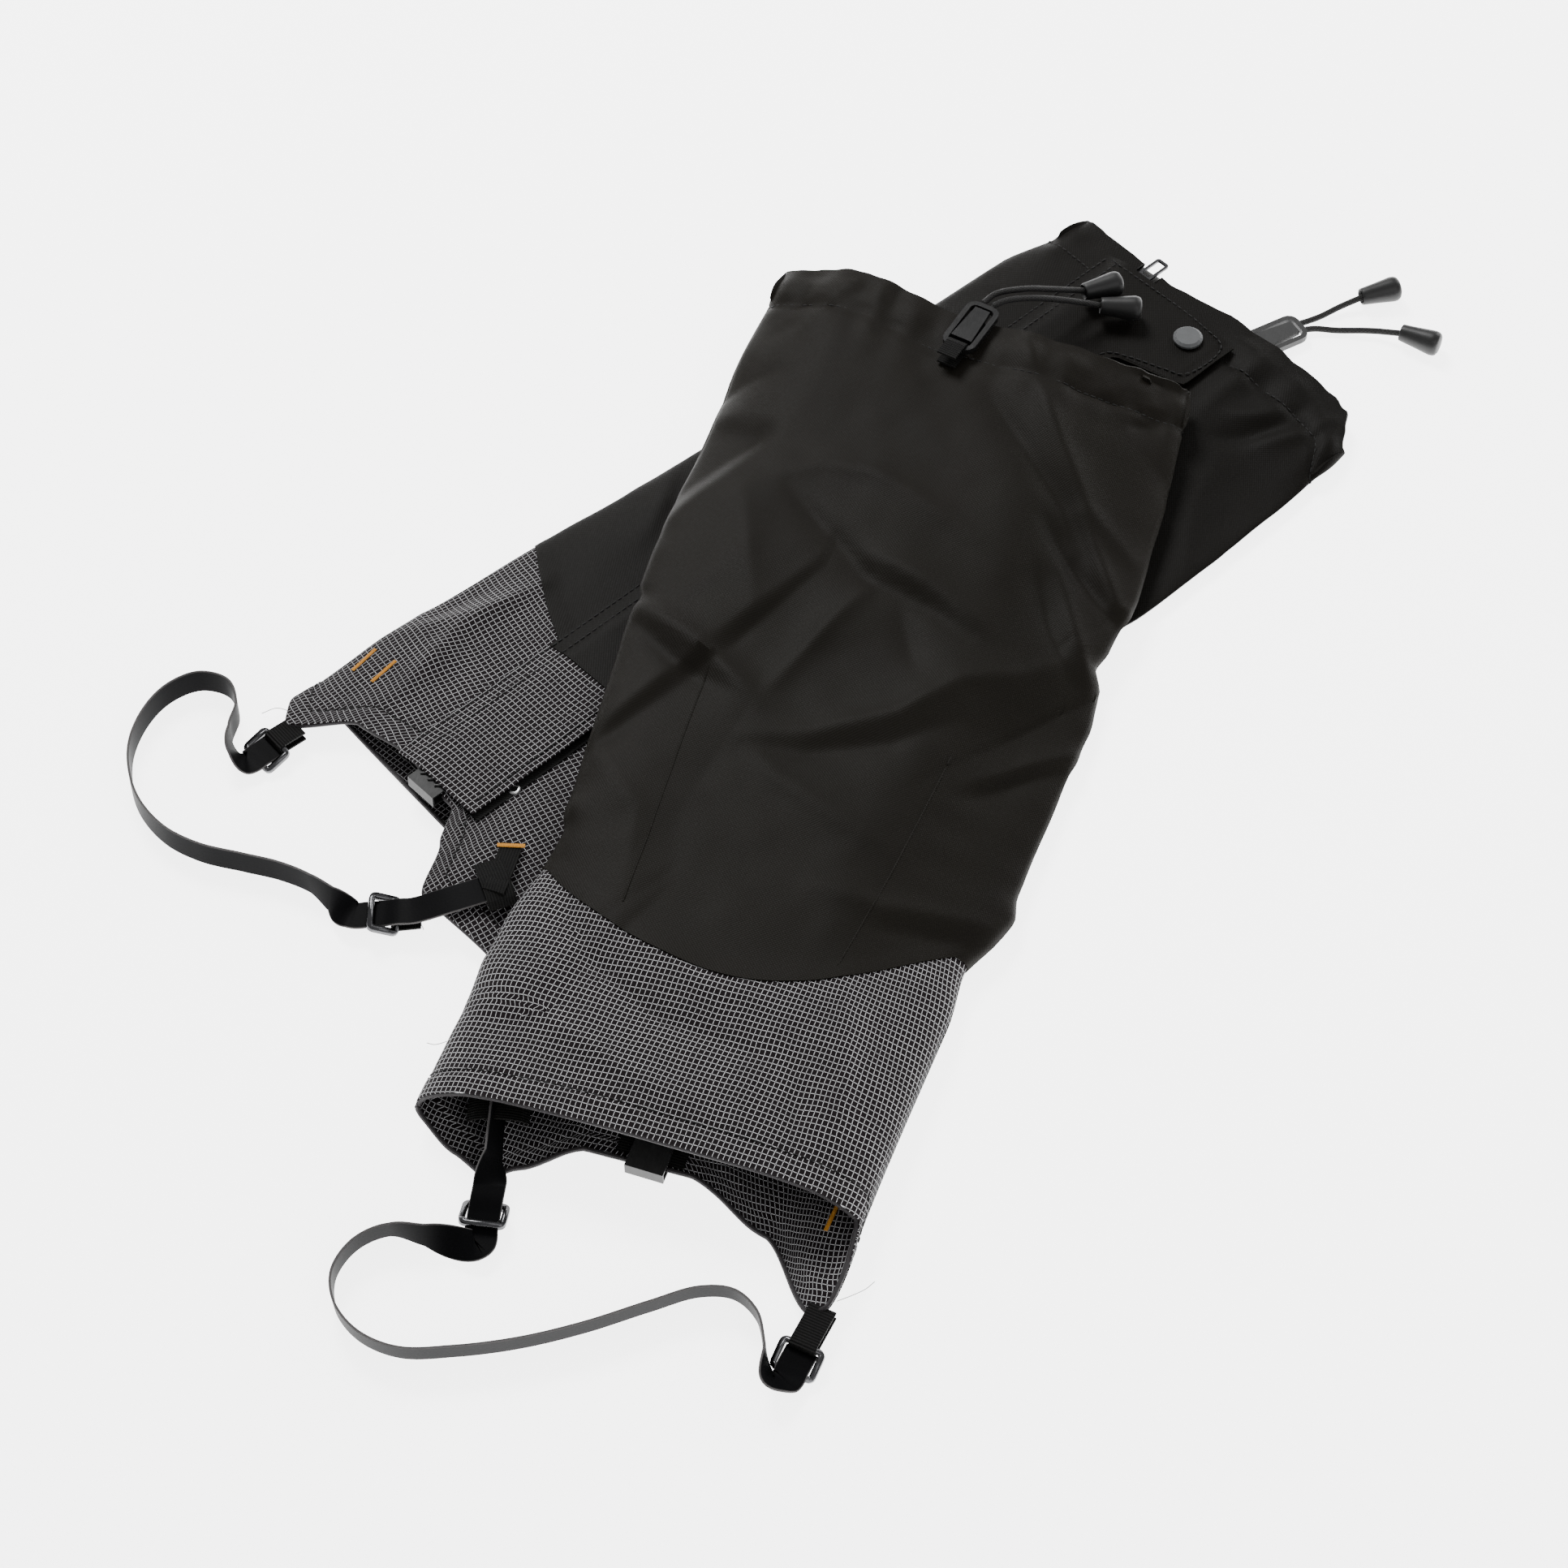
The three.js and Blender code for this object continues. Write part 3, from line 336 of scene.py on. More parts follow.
def cuff_seam(x):
    return CUFF_HEIGHT + 34 * np.minimum(np.abs(x) / HEM_HALF_WIDTH, 1) ** 2


# %% [markdown]
# ## The under gaiter
# It lies flat with its zip side up, so its front is nearly level and its calf touches the floor.
# Each outline is a few stops joined smoothly, which is easier to correct than a drawn curve.

# %% Under gaiter's outlines
class Gaiter:
    pass


UNDER_TURN = math.radians(32.5)
UNDER_HEM = (-133.3, 137.3)
UNDER_FRONT = 10.5
PAIR_SHIFT = Vector((41, -229.8, 0))
TO_METRES = Matrix.Scale(MM, 4)
under = Gaiter()
under.name = "under"
under.calf_up = False
under.zip_x = lambda y: -14 - 30 * (y - 8) / 438
under.top = outline([[-95, 441], [-62, 440], [-30, 440], [0, 448], [60, 450], [78, 447], [95, 431]])
under.calf_top = outline([[-95, 441], [-20, 446], [4, 438], [34, 438], [60, 446], [78, 445], [95, 431]])
under.front_hem = outline(
    [[-92, -12], [-79, -22], [-60, 1], [-34, 7], [2, 5], [14, -10], [30, -31], [68, -27], [92, -14]])
under.calf_hem = outline([[-92, -6], [-70, 0], [70, 0], [92, -10]])
under.centre = outline([[0, 0], [LENGTH, 1]])
under.front = lambda x, y: UNDER_FRONT - 4.2 * rise(24, 84, x) * (1 - rise(380, 430, y))
under.calf = lambda x, y: CLOTH / 2 + 0.2
under.fold = lambda x, y: 5.0 + 0 * x
under.lift = lambda x, y: 0 * x
under.sides = [
    outline([[0, 0], [38, -3], [122, -3], [216, 2], [336, 5], [395, 3], [422, 6], [452, 5]]),
    outline([[0, 0], [240, 0], [295, 2], [340, -2], [381, -6], [410, -9], [428, -10], [452, -14]]),
]
under.matrix = (TO_METRES @ Matrix.Translation(PAIR_SHIFT + Vector((*UNDER_HEM, 0)))
                @ Matrix.Rotation(-UNDER_TURN, 4, "Z"))

# %% [markdown]
# ## How the over gaiter lies
# The over gaiter lies partly on the floor and partly on the under gaiter. A height field of what is below it
# gives the lift of its cloth, and along its zip the lift is one straight slope, so that the slider can run.

# %% Lift of the over gaiter
STACK = 3.7
SLOPE = (UNDER_FRONT + STACK + 0.9 + CLOTH / 2) / (338 + 4)


def to_under(x, y):
    dx, dy = x - UNDER_HEM[0], y - UNDER_HEM[1]
    cos, sin = math.cos(UNDER_TURN), math.sin(UNDER_TURN)
    return dx * cos - dy * sin, dx * sin + dy * cos


def height_under(x, y):
    across, along = to_under(x, y)
    half = half_width(along)
    sideways = np.maximum(np.abs(across) - half, 0)
    lengthways = np.maximum(np.maximum(-24 - along, along - LENGTH), 0)
    inside = np.minimum(np.abs(across) / half, 1)
    panel = 5 + (under.front(across, along) - 5) * np.sqrt(1 - inside ** 4) + CLOTH / 2
    from_zip = across - under.zip_x(along)
    reach = 26 + 34 * rise(370, 396, along)
    on_stack = rise(-36, -25, from_zip) * (1 - rise(reach + 2, reach + 12, from_zip))
    top = np.maximum(panel, 0.5) + STACK * on_stack
    return top * (1 - rise(2, 30, np.hypot(sideways, lengthways)))


def incline(y):
    return np.maximum(SLOPE * (y + 4), 0)


def beside_closure(x, y):
    from_zip = x - over.zip_x(y)
    tab = 34 * rise(350, 376, y)
    return np.where(from_zip < 0, -from_zip - tab, from_zip)


def over_lift(x, y):
    beside = beside_closure(x, y)
    below = 0
    for dx, dy in [(0, 0), (5, 0), (-5, 0), (0, 5), (0, -5)]:
        below = np.maximum(below, height_under(x + dx, y + dy))
    touching = np.where(below > 0.5, below + 0.3, 0)
    support = np.maximum(touching, 0.6 * incline(y) * rise(350, 420, y))
    free = rise(30, 80, beside)
    lift = np.maximum(incline(y) * (1 - free) + support * free, support)
    return np.where(beside < 30, incline(y), lift)


# %% [markdown]
# ## The over gaiter
# It lies calf side up across the other, and its hem end stands open, so its calf rises towards the hem.
# Its sides aren't quite straight, because creased cloth pushes them in and out.

# %% Over gaiter's outlines
over = Gaiter()
over.name = "over"
over.calf_up = True
over.zip_x = lambda y: 4 + 9 * (y - 8) / 442
over.top = outline([[-95, 466], [-50, 464], [-4, 452], [45, 450], [100, 452]])
over.calf_top = over.top
over.front_hem = outline(
    [[-92, -4], [-72, -14], [-56, -20], [-46, -12], [-24, 3], [20, 4], [56, -12], [82, -41], [92, -37]])
over.calf_hem = outline([[-92, -2], [-70, 0], [70, 0], [92, -2]])
over.centre = outline([[0, 2], [160, 8], [330, 8], [LENGTH, 6]])
over.front = lambda x, y: STACK - (STACK - 1.2) * rise(30, 48, beside_closure(x, y))
over.calf = lambda x, y: 15.5 + 14.5 * (1 - rise(-30, 260, y))
over.fold = lambda x, y: 8 + 4 * (1 - rise(0, 160, y))
over.lift = over_lift
over.sides = [
    outline([[90, 0], [124, 5], [137, 7], [150, 3], [165, 2], [250, 0], [262, 1.5], [268, -1], [300, 0], [452, -1]]),
    outline([[100, 0], [128, -3], [143, 3], [158, 7], [170, 4], [230, 3], [262, 3], [284, 0], [293, -5], [303, -2],
             [333, 2], [380, 0]]),
]
over.matrix = TO_METRES @ Matrix.Translation(PAIR_SHIFT)
print("slope of the zip under the over gaiter:", round(math.degrees(math.atan(SLOPE)), 2), "degrees")

# %% [markdown]
# ## Folds and wrinkles
# Cloth that has been worn and laid down keeps long soft creases, and a drawcord packs its hem into short pleats.
# Each crease is a line with a height and a width, and it fades towards its ends. Smooth random ripples fill in between.
# A cloth simulation could make them, but only creases that are placed one by one lie where they belong.

# %% Ripples and creases
def ripple(x, y, size, seed):
    """Smooth random heights from -1 to 1 with lumps of the given size."""
    gx, gy = x / size, y / size
    ix, iy = np.floor(gx), np.floor(gy)
    fx, fy = rise(0, 1, gx - ix), rise(0, 1, gy - iy)

    def corner(a, b):
        value = np.sin(a * 127.1 + b * 311.7 + seed * 74.7) * 43758.5453
        return 2 * (value - np.floor(value)) - 1

    low = corner(ix, iy) * (1 - fx) + corner(ix + 1, iy) * fx
    high = corner(ix, iy + 1) * (1 - fx) + corner(ix + 1, iy + 1) * fx
    return low * (1 - fy) + high * fy


def crease(x, y, points, height, width):
    """The height of one crease: sharp along its line, soft beside it, fading to its ends."""
    points = np.array(points, float)
    steps = np.linalg.norm(np.diff(points, axis=0), axis=1)
    starts = np.concatenate([[0], np.cumsum(steps)[:-1]])
    away = np.full(np.shape(x), 1e9)
    along = np.zeros(np.shape(x))
    for a, b, start, step in zip(points[:-1], points[1:], starts, steps):
        t = np.clip(((x - a[0]) * (b - a)[0] + (y - a[1]) * (b - a)[1]) / step ** 2, 0, 1)
        distance = np.hypot(x - a[0] - t * (b - a)[0], y - a[1] - t * (b - a)[1])
        along = np.where(distance < away, start + t * step, along)
        away = np.minimum(away, distance)
    ends = np.sin(np.pi * np.clip(0.08 + 0.84 * along / steps.sum(), 0, 1)) ** 0.7
    return 1.05 * height * ends * np.exp(-(np.sqrt(away ** 2 + 1) - 1) / (0.72 * width))


# %% [markdown]
# ## Where the creases lie
# Each entry is a line, a height and a width in millimetres. Ridges are positive and valleys negative.
# A ridge beside a valley makes the sharp fold that bent nylon keeps.

# %% Creases of each gaiter
over.calf_creases = [
    ([(78, 363), (103, 325), (113, 322)], 3.2, 6), ([(64, 355), (77, 340), (92, 328), (107, 316)], -3.0, 5),
    ([(-52, 343), (-37, 353), (-15, 354), (4, 348), (24, 338), (38, 333)], 2.0, 9),
    ([(-48, 338), (-27, 320), (-2, 302), (7, 292)], -2.6, 8), ([(-3, 310), (12, 307), (34, 299), (56, 287)], 2.6, 8),
    ([(-6, 299), (12, 296), (34, 289), (50, 281)], -2.2, 6), ([(4, 296), (-7, 268), (-20, 230)], 2.4, 8),
    ([(-24, 202), (4, 212), (35, 232), (55, 259), (79, 274), (92, 289)], 3.0, 11),
    ([(-20, 196), (4, 201), (36, 216), (58, 238)], -2.4, 10), ([(-20, 198), (-2, 184), (31, 170), (45, 166)], 2.0, 10),
    ([(112, 250), (93, 233), (70, 210)], 2.6, 7), ([(110, 241), (92, 224), (74, 205)], -2.2, 7),
    ([(-90, 256), (-55, 240), (-45, 235), (-22, 219)], 2.8, 7), ([(-88, 247), (-60, 228), (-40, 222)], -2.4, 7),
    ([(110, 150), (85, 144), (56, 136), (30, 137)], 2.2, 9), ([(104, 140), (84, 134), (60, 127)], -1.6, 7),
    ([(30, 444), (44, 418), (58, 396), (78, 368), (104, 350)], 3.4, 9),
    ([(20, 414), (48, 385), (70, 364), (84, 346)], -3.0, 8), ([(74, 337), (88, 309), (104, 280)], 2.6, 6),
    ([(66, 330), (80, 303), (96, 280)], -2.2, 6), ([(18, 287), (35, 258)], -1.8, 7),
    ([(-66, 330), (-38, 262)], 1.6, 12),
    ([(-82, 180), (-52, 150), (-44, 116)], 1.4, 12),
    ([(-74, 112), (-46, 76), (-10, 56), (38, 50)], -3.4, 12), ([(-88, 66), (-56, 44), (-14, 26), (20, 20)], 2.4, 11),
    ([(-30, 90), (0, 76), (34, 74)], 1.6, 9), ([(54, 96), (68, 58), (74, 24)], 2.2, 9),
    ([(44, 60), (56, 34), (58, 10)], -1.6, 8), ([(-44, 12), (-20, 8), (4, 12)], 1.0, 7),
    ([(82, 420), (98, 427)], -2.6, 6), ([(-76, 150), (-84, 128)], 2.4, 5),
]
over.front_creases = []
under.calf_creases = []
under.front_creases = [
    ([(64, 424), (58, 404), (49, 391)], -2.4, 6), ([(58, 436), (56, 418), (42, 404)], 2.2, 6),
    ([(28, 437), (32, 410), (34, 388)], 1.6, 6), ([(76, 440), (72, 420), (62, 400)], 1.8, 6),
    ([(-92, 40), (-80, 66), (-70, 96)], 1.8, 10), ([(-96, 60), (-78, 50), (-54, 40)], 2.0, 9),
    ([(-56, 46), (-42, 38), (-40, 12)], -2.4, 7),
    ([(-72, 108), (-74, 66), (-60, 22)], 3.2, 9), ([(-86, 92), (-88, 50)], -1.6, 8),
    ([(62, 104), (68, 60), (60, 14)], 2.4, 10), ([(80, 92), (84, 50), (80, 10)], -1.8, 8),
    ([(-94, 200), (-70, 170), (-52, 140)], 1.4, 12),
    ([(-90, 330), (-74, 350), (-62, 400)], 1.5, 10), ([(96, 330), (70, 360), (58, 388)], 1.2, 12),
]


def pleats(gaiter, x, y, top):
    """Short puckers that the drawcord packs into the top hem, and the groove of the stitches below it."""
    below = top - y
    spread = x + 3 * ripple(x, y, 30, 5)
    packed = np.sin(spread / 3.6 + 2.4 * ripple(x, 0 * x, 24, 8)) * 0.55 * (0.5 + np.abs(ripple(x, 0 * x, 40, 21)))
    packed = packed + 1.5 * ripple(x, 0.2 * y, 14, 3) + 0.6 * ripple(x, y, 7, 13)
    reach = (1 - rise(14, 50, below)) * (0.6 + 0.4 * rise(0, 10, below))
    groove = -1.3 * np.exp(-((below - HEM_DEPTH) / 2.0) ** 2)
    puff = 0.9 * np.exp(-((below - 11) / 6) ** 2)
    return packed * reach + groove + puff


# %% [markdown]
# ## Edges of the panels
# The hem, the cuff seam and the top edge each run at their own height round the loop. The front's line and the
# calf's line are blended over a short stretch at each side fold, as the sewn panels meet there.

# %% The surface of a gaiter
def hem_height(gaiter, phi):
    """The hem's height at an angle round the gaiter: the calf's hem turns into the front's past the folds."""
    x = HEM_HALF_WIDTH * np.sin(phi)
    share = rise(math.pi / 2 - 0.22, math.pi / 2 + 0.26, np.abs(phi))
    return gaiter.calf_hem(x) * (1 - share) + gaiter.front_hem(x) * share


def top_height(gaiter, phi):
    x = gaiter.centre(LENGTH) + 95 * np.sin(phi)
    share = rise(math.pi / 2 - 0.2, math.pi / 2 + 0.2, np.abs(phi))
    return gaiter.calf_top(x) * (1 - share) + gaiter.top(x) * share


def seam_height(gaiter, phi):
    x = HEM_HALF_WIDTH * np.sin(phi) + gaiter.centre(CUFF_HEIGHT)
    skew = 9 * rise(40, 91, x) - 5 * np.exp(-((x - 15) / 40) ** 2)
    on_calf = 1 - rise(math.pi / 2, math.pi / 2 + 0.6, np.abs(phi))
    return cuff_seam(x) + (skew * on_calf if gaiter.calf_up else 0)

# %% [markdown]
# ## The smooth form
# Without wrinkles the gaiter is a flattened loop: a side fold, a top layer and a bottom layer.
# The layers stay nearly flat between the folds and turn down only close to them.

# %% The smooth form
def smooth_form(gaiter, phi, y):
    """The flattened loop without wrinkles."""
    front = np.abs(phi) > math.pi / 2
    turn = np.where(front, np.sign(phi) * math.pi - phi, phi)
    sine = np.sin(turn)
    side = np.where(sine < 0, gaiter.sides[0](y), gaiter.sides[1](y)) * np.abs(sine) ** 5
    x = gaiter.centre(y) + half_width(y) * sine + side
    crown = np.cos(turn) * np.sqrt(1 + sine ** 2)
    fold = gaiter.fold(x, y)
    layer = np.where(front, gaiter.front(x, y), gaiter.calf(x, y))
    return np.stack([x, y + 0 * x, fold + (layer - fold) * crown + gaiter.lift(x, y)], axis=-1)

# %% [markdown]
# ## Wrinkles on the form
# The heights of creases, ripples and pleats are added along the outward direction. They fade where the zip must
# slide, under the cord lock, on the sides that lie face down, and where one gaiter lies on the other.

# %% Wrinkles
def wrinkles(gaiter, phi, spot):
    x, y = spot[..., 0], spot[..., 1]
    front = np.abs(phi) > math.pi / 2
    calf_side = sum((crease(x, y, *fold) for fold in gaiter.calf_creases), 0 * x)
    front_side = sum((crease(x, y, *fold) for fold in gaiter.front_creases), 0 * x)
    blend = rise(math.pi / 2 - 0.3, math.pi / 2 + 0.3, np.abs(phi))
    placed = calf_side * (1 - blend) + front_side * blend
    soft = 0.9 * ripple(x, y, 62, 1) + 0.6 * ripple(x + y * 0.4, y, 27, 2) + 0.22 * ripple(x, y, 11, 4)
    cloth = rise(CUFF_HEIGHT - 10, CUFF_HEIGHT + 40, y)
    height = placed + soft * (0.35 + 0.65 * cloth)
    height = height + pleats(gaiter, x, y, top_height(gaiter, phi)) * rise(380, 430, y)
    closure = rise(34, 56, np.abs(x - gaiter.zip_x(y) + (0 if gaiter.calf_up else -4)))
    height = np.where(front, height * closure, height)
    if gaiter.calf_up:
        lock = np.exp(-((x - 3) / 13) ** 2) * rise(412, 424, y)
        height = np.where(front, 0, height * (1 - lock) - 0.5 * lock)
    else:
        a_x, a_y = spot_in_over(x, y)
        covered = rise(-104, -92, a_x) * (1 - rise(100, 112, a_x)) * rise(-6, 6, a_y) * (1 - rise(452, 464, a_y))
        height = height * np.where(front, 1 - 0.9 * covered, 0.15)
    return height


def spot_in_over(x, y):
    cos, sin = math.cos(UNDER_TURN), math.sin(UNDER_TURN)
    return UNDER_HEM[0] + x * cos + y * sin, UNDER_HEM[1] - x * sin + y * cos


def unit(vectors):
    return vectors / np.maximum(np.linalg.norm(vectors, axis=-1, keepdims=True), 1e-9)


def outward(gaiter, form, phi, y):
    """The direction away from the leg, from how the form moves over a small step each way."""
    step_phi, step_y = 2e-3, 0.2
    over_phi = form(gaiter, phi + step_phi, y) - form(gaiter, phi - step_phi, y)
    over_y = form(gaiter, phi, y + step_y) - form(gaiter, phi, y - step_y)
    normal = unit(np.cross(over_phi, over_y))
    return normal if gaiter.calf_up else -normal


def draped(gaiter, phi, y):
    spot = smooth_form(gaiter, phi, y)
    return spot + outward(gaiter, smooth_form, phi, y) * wrinkles(gaiter, phi, spot)[..., None]


def to_world(gaiter, points):
    matrix = np.array(gaiter.matrix)
    return points @ matrix[:3, :3].T + matrix[:3, 3]


# %% [markdown]
# ## From a grid of points to a sheet
# The cloth is a grid that runs from one edge of the zip round the calf to the other edge. Solidify then gives it
# its thickness, half to each side. Its map holds the true lengths along the cloth, in metres.

# %% Sheet helpers
def finish_piece(piece, body, replaced=()):
    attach(piece, body)
    if replaced:
        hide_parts(*replaced)
    return piece


def smooth_piece(piece, angle=35):
    choose(piece)
    bpy.ops.object.shade_smooth_by_angle(angle=math.radians(angle))


def new_piece(name, points, faces, material, flat=None):
    """A mesh at the origin. flat gives its points' places on the flat cloth, as its map."""
    mesh = bpy.data.meshes.new(name)
    mesh.from_pydata(points.reshape(-1, 3).tolist(), [], faces)
    if flat is not None:
        corner = np.zeros(len(mesh.loops), np.int32)
        mesh.loops.foreach_get("vertex_index", corner)
        places = flat.reshape(-1, 2)[corner].astype(np.float32)
        mesh.uv_layers.new(name="cloth").data.foreach_set("uv", places.ravel())
    mesh.materials.append(material)
    piece = bpy.data.objects.new(name, mesh)
    bpy.context.scene.collection.objects.link(piece)
    return piece


def in_edit_mode(piece, *steps):
    """Run operators, each with its settings, on the whole piece in edit mode."""
    choose(piece)
    bpy.ops.object.mode_set(mode="EDIT")
    bpy.ops.mesh.select_all(action="SELECT")
    for operator, settings in steps:
        operator(**settings)
    bpy.ops.object.mode_set(mode="OBJECT")


FACE_OUTWARDS = (bpy.ops.mesh.normals_make_consistent, {"inside": False})


def cloth_sheet(name, points, flat, material, thickness, flip=False):
    """A sheet from a grid of points in metres, with the flat cloth's coordinates as its map."""
    columns, rows = points.shape[:2]
    index = np.arange(columns * rows).reshape(columns, rows)
    faces = np.stack([index[:-1, :-1], index[1:, :-1], index[1:, 1:], index[:-1, 1:]], axis=-1).reshape(-1, 4)
    if flip:
        faces = faces[:, ::-1]
    piece = new_piece(name, points, faces.tolist(), material, flat)
    shell = piece.modifiers.new("thickness", "SOLIDIFY")
    shell.thickness = thickness * MM
    shell.offset = 0
    choose(piece)
    bpy.ops.object.modifier_apply(modifier=shell.name)
    smooth_piece(piece)
    return piece


def flat_map(points, start_column):
    """Distance round the cloth from one column, in metres."""
    steps = np.linalg.norm(np.diff(points, axis=0), axis=-1)
    around = np.concatenate([np.zeros((1, points.shape[1])), np.cumsum(steps, axis=0)])
    return around - around[start_column]

# %% [markdown]
# ## Columns of the sheet
# The columns are packed closer at the side folds, where the cloth bends most, and spread over the flat layers.

# %% Angles round the loop
CALF_COLUMNS, FRONT_COLUMNS = 132, 54


def angles_round(gaiter, y):
    """Angles from the closure's left edge round the calf to its right edge, a row for each height."""
    edges = []
    for side in (-1, 1):
        x = gaiter.zip_x(y) + side * 6 - gaiter.centre(y)
        edges.append(np.arcsin(np.clip(x / half_width(y), -1, 1)))
    t = np.linspace(-1, 1, CALF_COLUMNS)
    calf = 0.6 * np.arcsin(t) + 0.4 * t * math.pi / 2
    front = np.linspace(0, 1, FRONT_COLUMNS + 1)
    left = (-math.pi - edges[0])[None, :] * (1 - front[:-1, None]) - math.pi / 2 * front[:-1, None]
    right = math.pi / 2 * (1 - front[1:, None]) + (math.pi - edges[1])[None, :] * front[1:, None]
    middle = np.repeat(calf[:, None], len(y), axis=1)
    return np.concatenate([left, middle, right])


# %% [markdown]
# ## The upper shell
# One sheet makes all the upper panels, since their seams are flat. At the top it turns in and down, as
# the real hem does to form the channel of the drawcord, and the turned part is seen from the end.

# %% Upper shell
LAP = 1.5


def upper_shell(gaiter):
    """The black cloth from the cuff seam to the top edge, turned in there as the drawcord's channel."""
    rows, hem_rows = 118, 12
    phi = angles_round(gaiter, np.linspace(CUFF_HEIGHT, LENGTH, rows))
    top = top_height(gaiter, phi[:, -1:])
    top = top + 0.9 * ripple(phi[:, -1:] * 95, 0 * top, 9, 12)
    bottom = seam_height(gaiter, phi[:, :1]) - LAP
    share = np.linspace(0, 1, rows)[None, :] ** 0.93
    y = bottom + (top - bottom) * share
    outer = draped(gaiter, phi, y)
    normal = outward(gaiter, draped, phi, y)
    lap = 0.45 * (1 - rise(2, 10, y - bottom))
    outer = outer + normal * lap[..., None]
    depth = np.linspace(0, HEM_DEPTH, hem_rows)[None, :]
    hem_phi = np.repeat(phi[:, -1:], hem_rows, axis=1)
    hem_y = top - depth
    inset = 1.6 + 2.7 * np.sin(math.pi * np.clip(depth / HEM_DEPTH, 0, 1)) ** 0.8
    inner = draped(gaiter, hem_phi, hem_y) - outward(gaiter, draped, hem_phi, hem_y) * inset[..., None]
    crest = outer[:, -1:] - normal[:, -1:] * 0.8 + np.array([0, 0.7, 0])
    points = to_world(gaiter, np.concatenate([outer, crest, inner], axis=1))
    rows_y = np.concatenate([y, y[:, -1:] + 1, y[:, -1:] + 1 + depth + 0 * hem_phi], axis=1) * MM
    around = flat_map(points, FRONT_COLUMNS + CALF_COLUMNS // 2)
    flat = np.stack([around, rows_y], axis=-1)
    nodes = [f"{gaiter.name}_{n}" for n in ("calf_panel", "front_panel_left", "front_panel_right", "drawcord")]
    piece = cloth_sheet(f"{gaiter.name}_upper", points, flat, UPPERS[gaiter.name], CLOTH, flip=not gaiter.calf_up)
    finish_piece(piece, "gaiters", nodes)
    return piece, points

# %% [markdown]
# ## The cuff shell
# The grid cloth is a second sheet that laps under the upper. Its doubled hem shows as a shallow step
# that ends at the row of stitches, with a groove there.

# %% Cuff shell
def cuff_shell(gaiter):
    """The grid cloth from the hem to the cuff seam, with its doubled hem."""
    rows = 52
    phi = angles_round(gaiter, np.linspace(0, CUFF_HEIGHT, rows))
    bottom = hem_height(gaiter, phi[:, :1])
    top = seam_height(gaiter, phi[:, -1:]) + LAP
    y = bottom + (top - bottom) * np.linspace(0, 1, rows)[None, :]
    outer = draped(gaiter, phi, y)
    normal = outward(gaiter, draped, phi, y)
    hem = 0.5 * np.exp(-((y - bottom - 12) / 1.4) ** 2) - 0.55 * (1 - rise(9, 13, y - bottom))
    tuck = 0.4 * (1 - rise(0, 6, top - y))
    outer = outer - normal * (hem + tuck)[..., None]
    points = to_world(gaiter, outer)
    flat = np.stack([flat_map(points, FRONT_COLUMNS + CALF_COLUMNS // 2), y * MM + 0 * phi], axis=-1)
    nodes = [f"{gaiter.name}_{n}" for n in ("cuff_calf", "cuff_front_left", "cuff_front_right")]
    piece = cloth_sheet(f"{gaiter.name}_cuff", points, flat, CUFFS[gaiter.name], CLOTH, flip=not gaiter.calf_up)
    finish_piece(piece, "gaiters", nodes)
    return piece, points

# %% [markdown]
# ## Making the sheets
# No cutting pattern is known, so the area printed is the modelled cloth's own, creases included. It says how much cloth
# there is, and is no test of the form.

# %% Make the shells
def cloth_area(points):
    a = points[1:, :-1] - points[:-1, :-1]
    b = points[:-1, 1:] - points[:-1, :-1]
    return float(np.linalg.norm(np.cross(a, b), axis=-1).sum())


SHELLS = ((upper_shell, (0.40, 0.42)), (cuff_shell, (0.39, 0.16)))
for gaiter in (over, under):
    for build, size in SHELLS:
        shell, points = build(gaiter)
        area = cloth_area(points)
        print(shell.name, len(shell.data.polygons), "faces, cloth area", round(area, 4), "m2")

# %% [markdown]
# ## Placing things on the cloth
# Stitches, tacks and seams lie on the wrinkled cloth, so one function finds the spot and its outward direction.
# The closure has its own straight frame: x across, y up the zip, and z away from the leg.

# %% Spots on the cloth and in the closure
def spot_on(gaiter, x, y, on_front):
    """Where local (x, y) lies on the outer cloth, and the cloth's outward direction there, in metres."""
    x, y = np.atleast_1d(np.asarray(x, float)), np.atleast_1d(np.asarray(y, float))
    turn = np.arcsin(np.clip((x - gaiter.centre(y)) / half_width(y), -0.999, 0.999))
    phi = np.where(turn < 0, -math.pi - turn, math.pi - turn) if on_front else turn
    normal = outward(gaiter, draped, phi, y)
    spot = draped(gaiter, phi, y) + normal * CLOTH / 2
    matrix = np.array(gaiter.matrix)[:3, :3] / MM
    return to_world(gaiter, spot), normal @ matrix.T


def closure_matrix(gaiter):
    def at(y):
        x = gaiter.zip_x(y)
        return Vector((x, y, float(gaiter.front(x, y) + gaiter.lift(x, y))))

    start = at(8.0)
    up = (at(430.0) - start).normalized()
    out = Vector((0, 0, -1 if gaiter.calf_up else 1))
    right = up.cross(out).normalized()
    out = right.cross(up)
    turn = Matrix((right, up, out)).transposed().to_4x4()
    return gaiter.matrix @ Matrix.Translation(start) @ turn


def in_closure(gaiter, points):
    matrix = np.array(closure_matrix(gaiter))
    return np.asarray(points, float) @ matrix[:3, :3].T + matrix[:3, 3]


for gaiter in (over, under):
    gaiter.tape_end = float(gaiter.top(gaiter.zip_x(LENGTH))) - 17
    print(gaiter.name, "closure starts at", [round(v, 4) for v in closure_matrix(gaiter).translation])
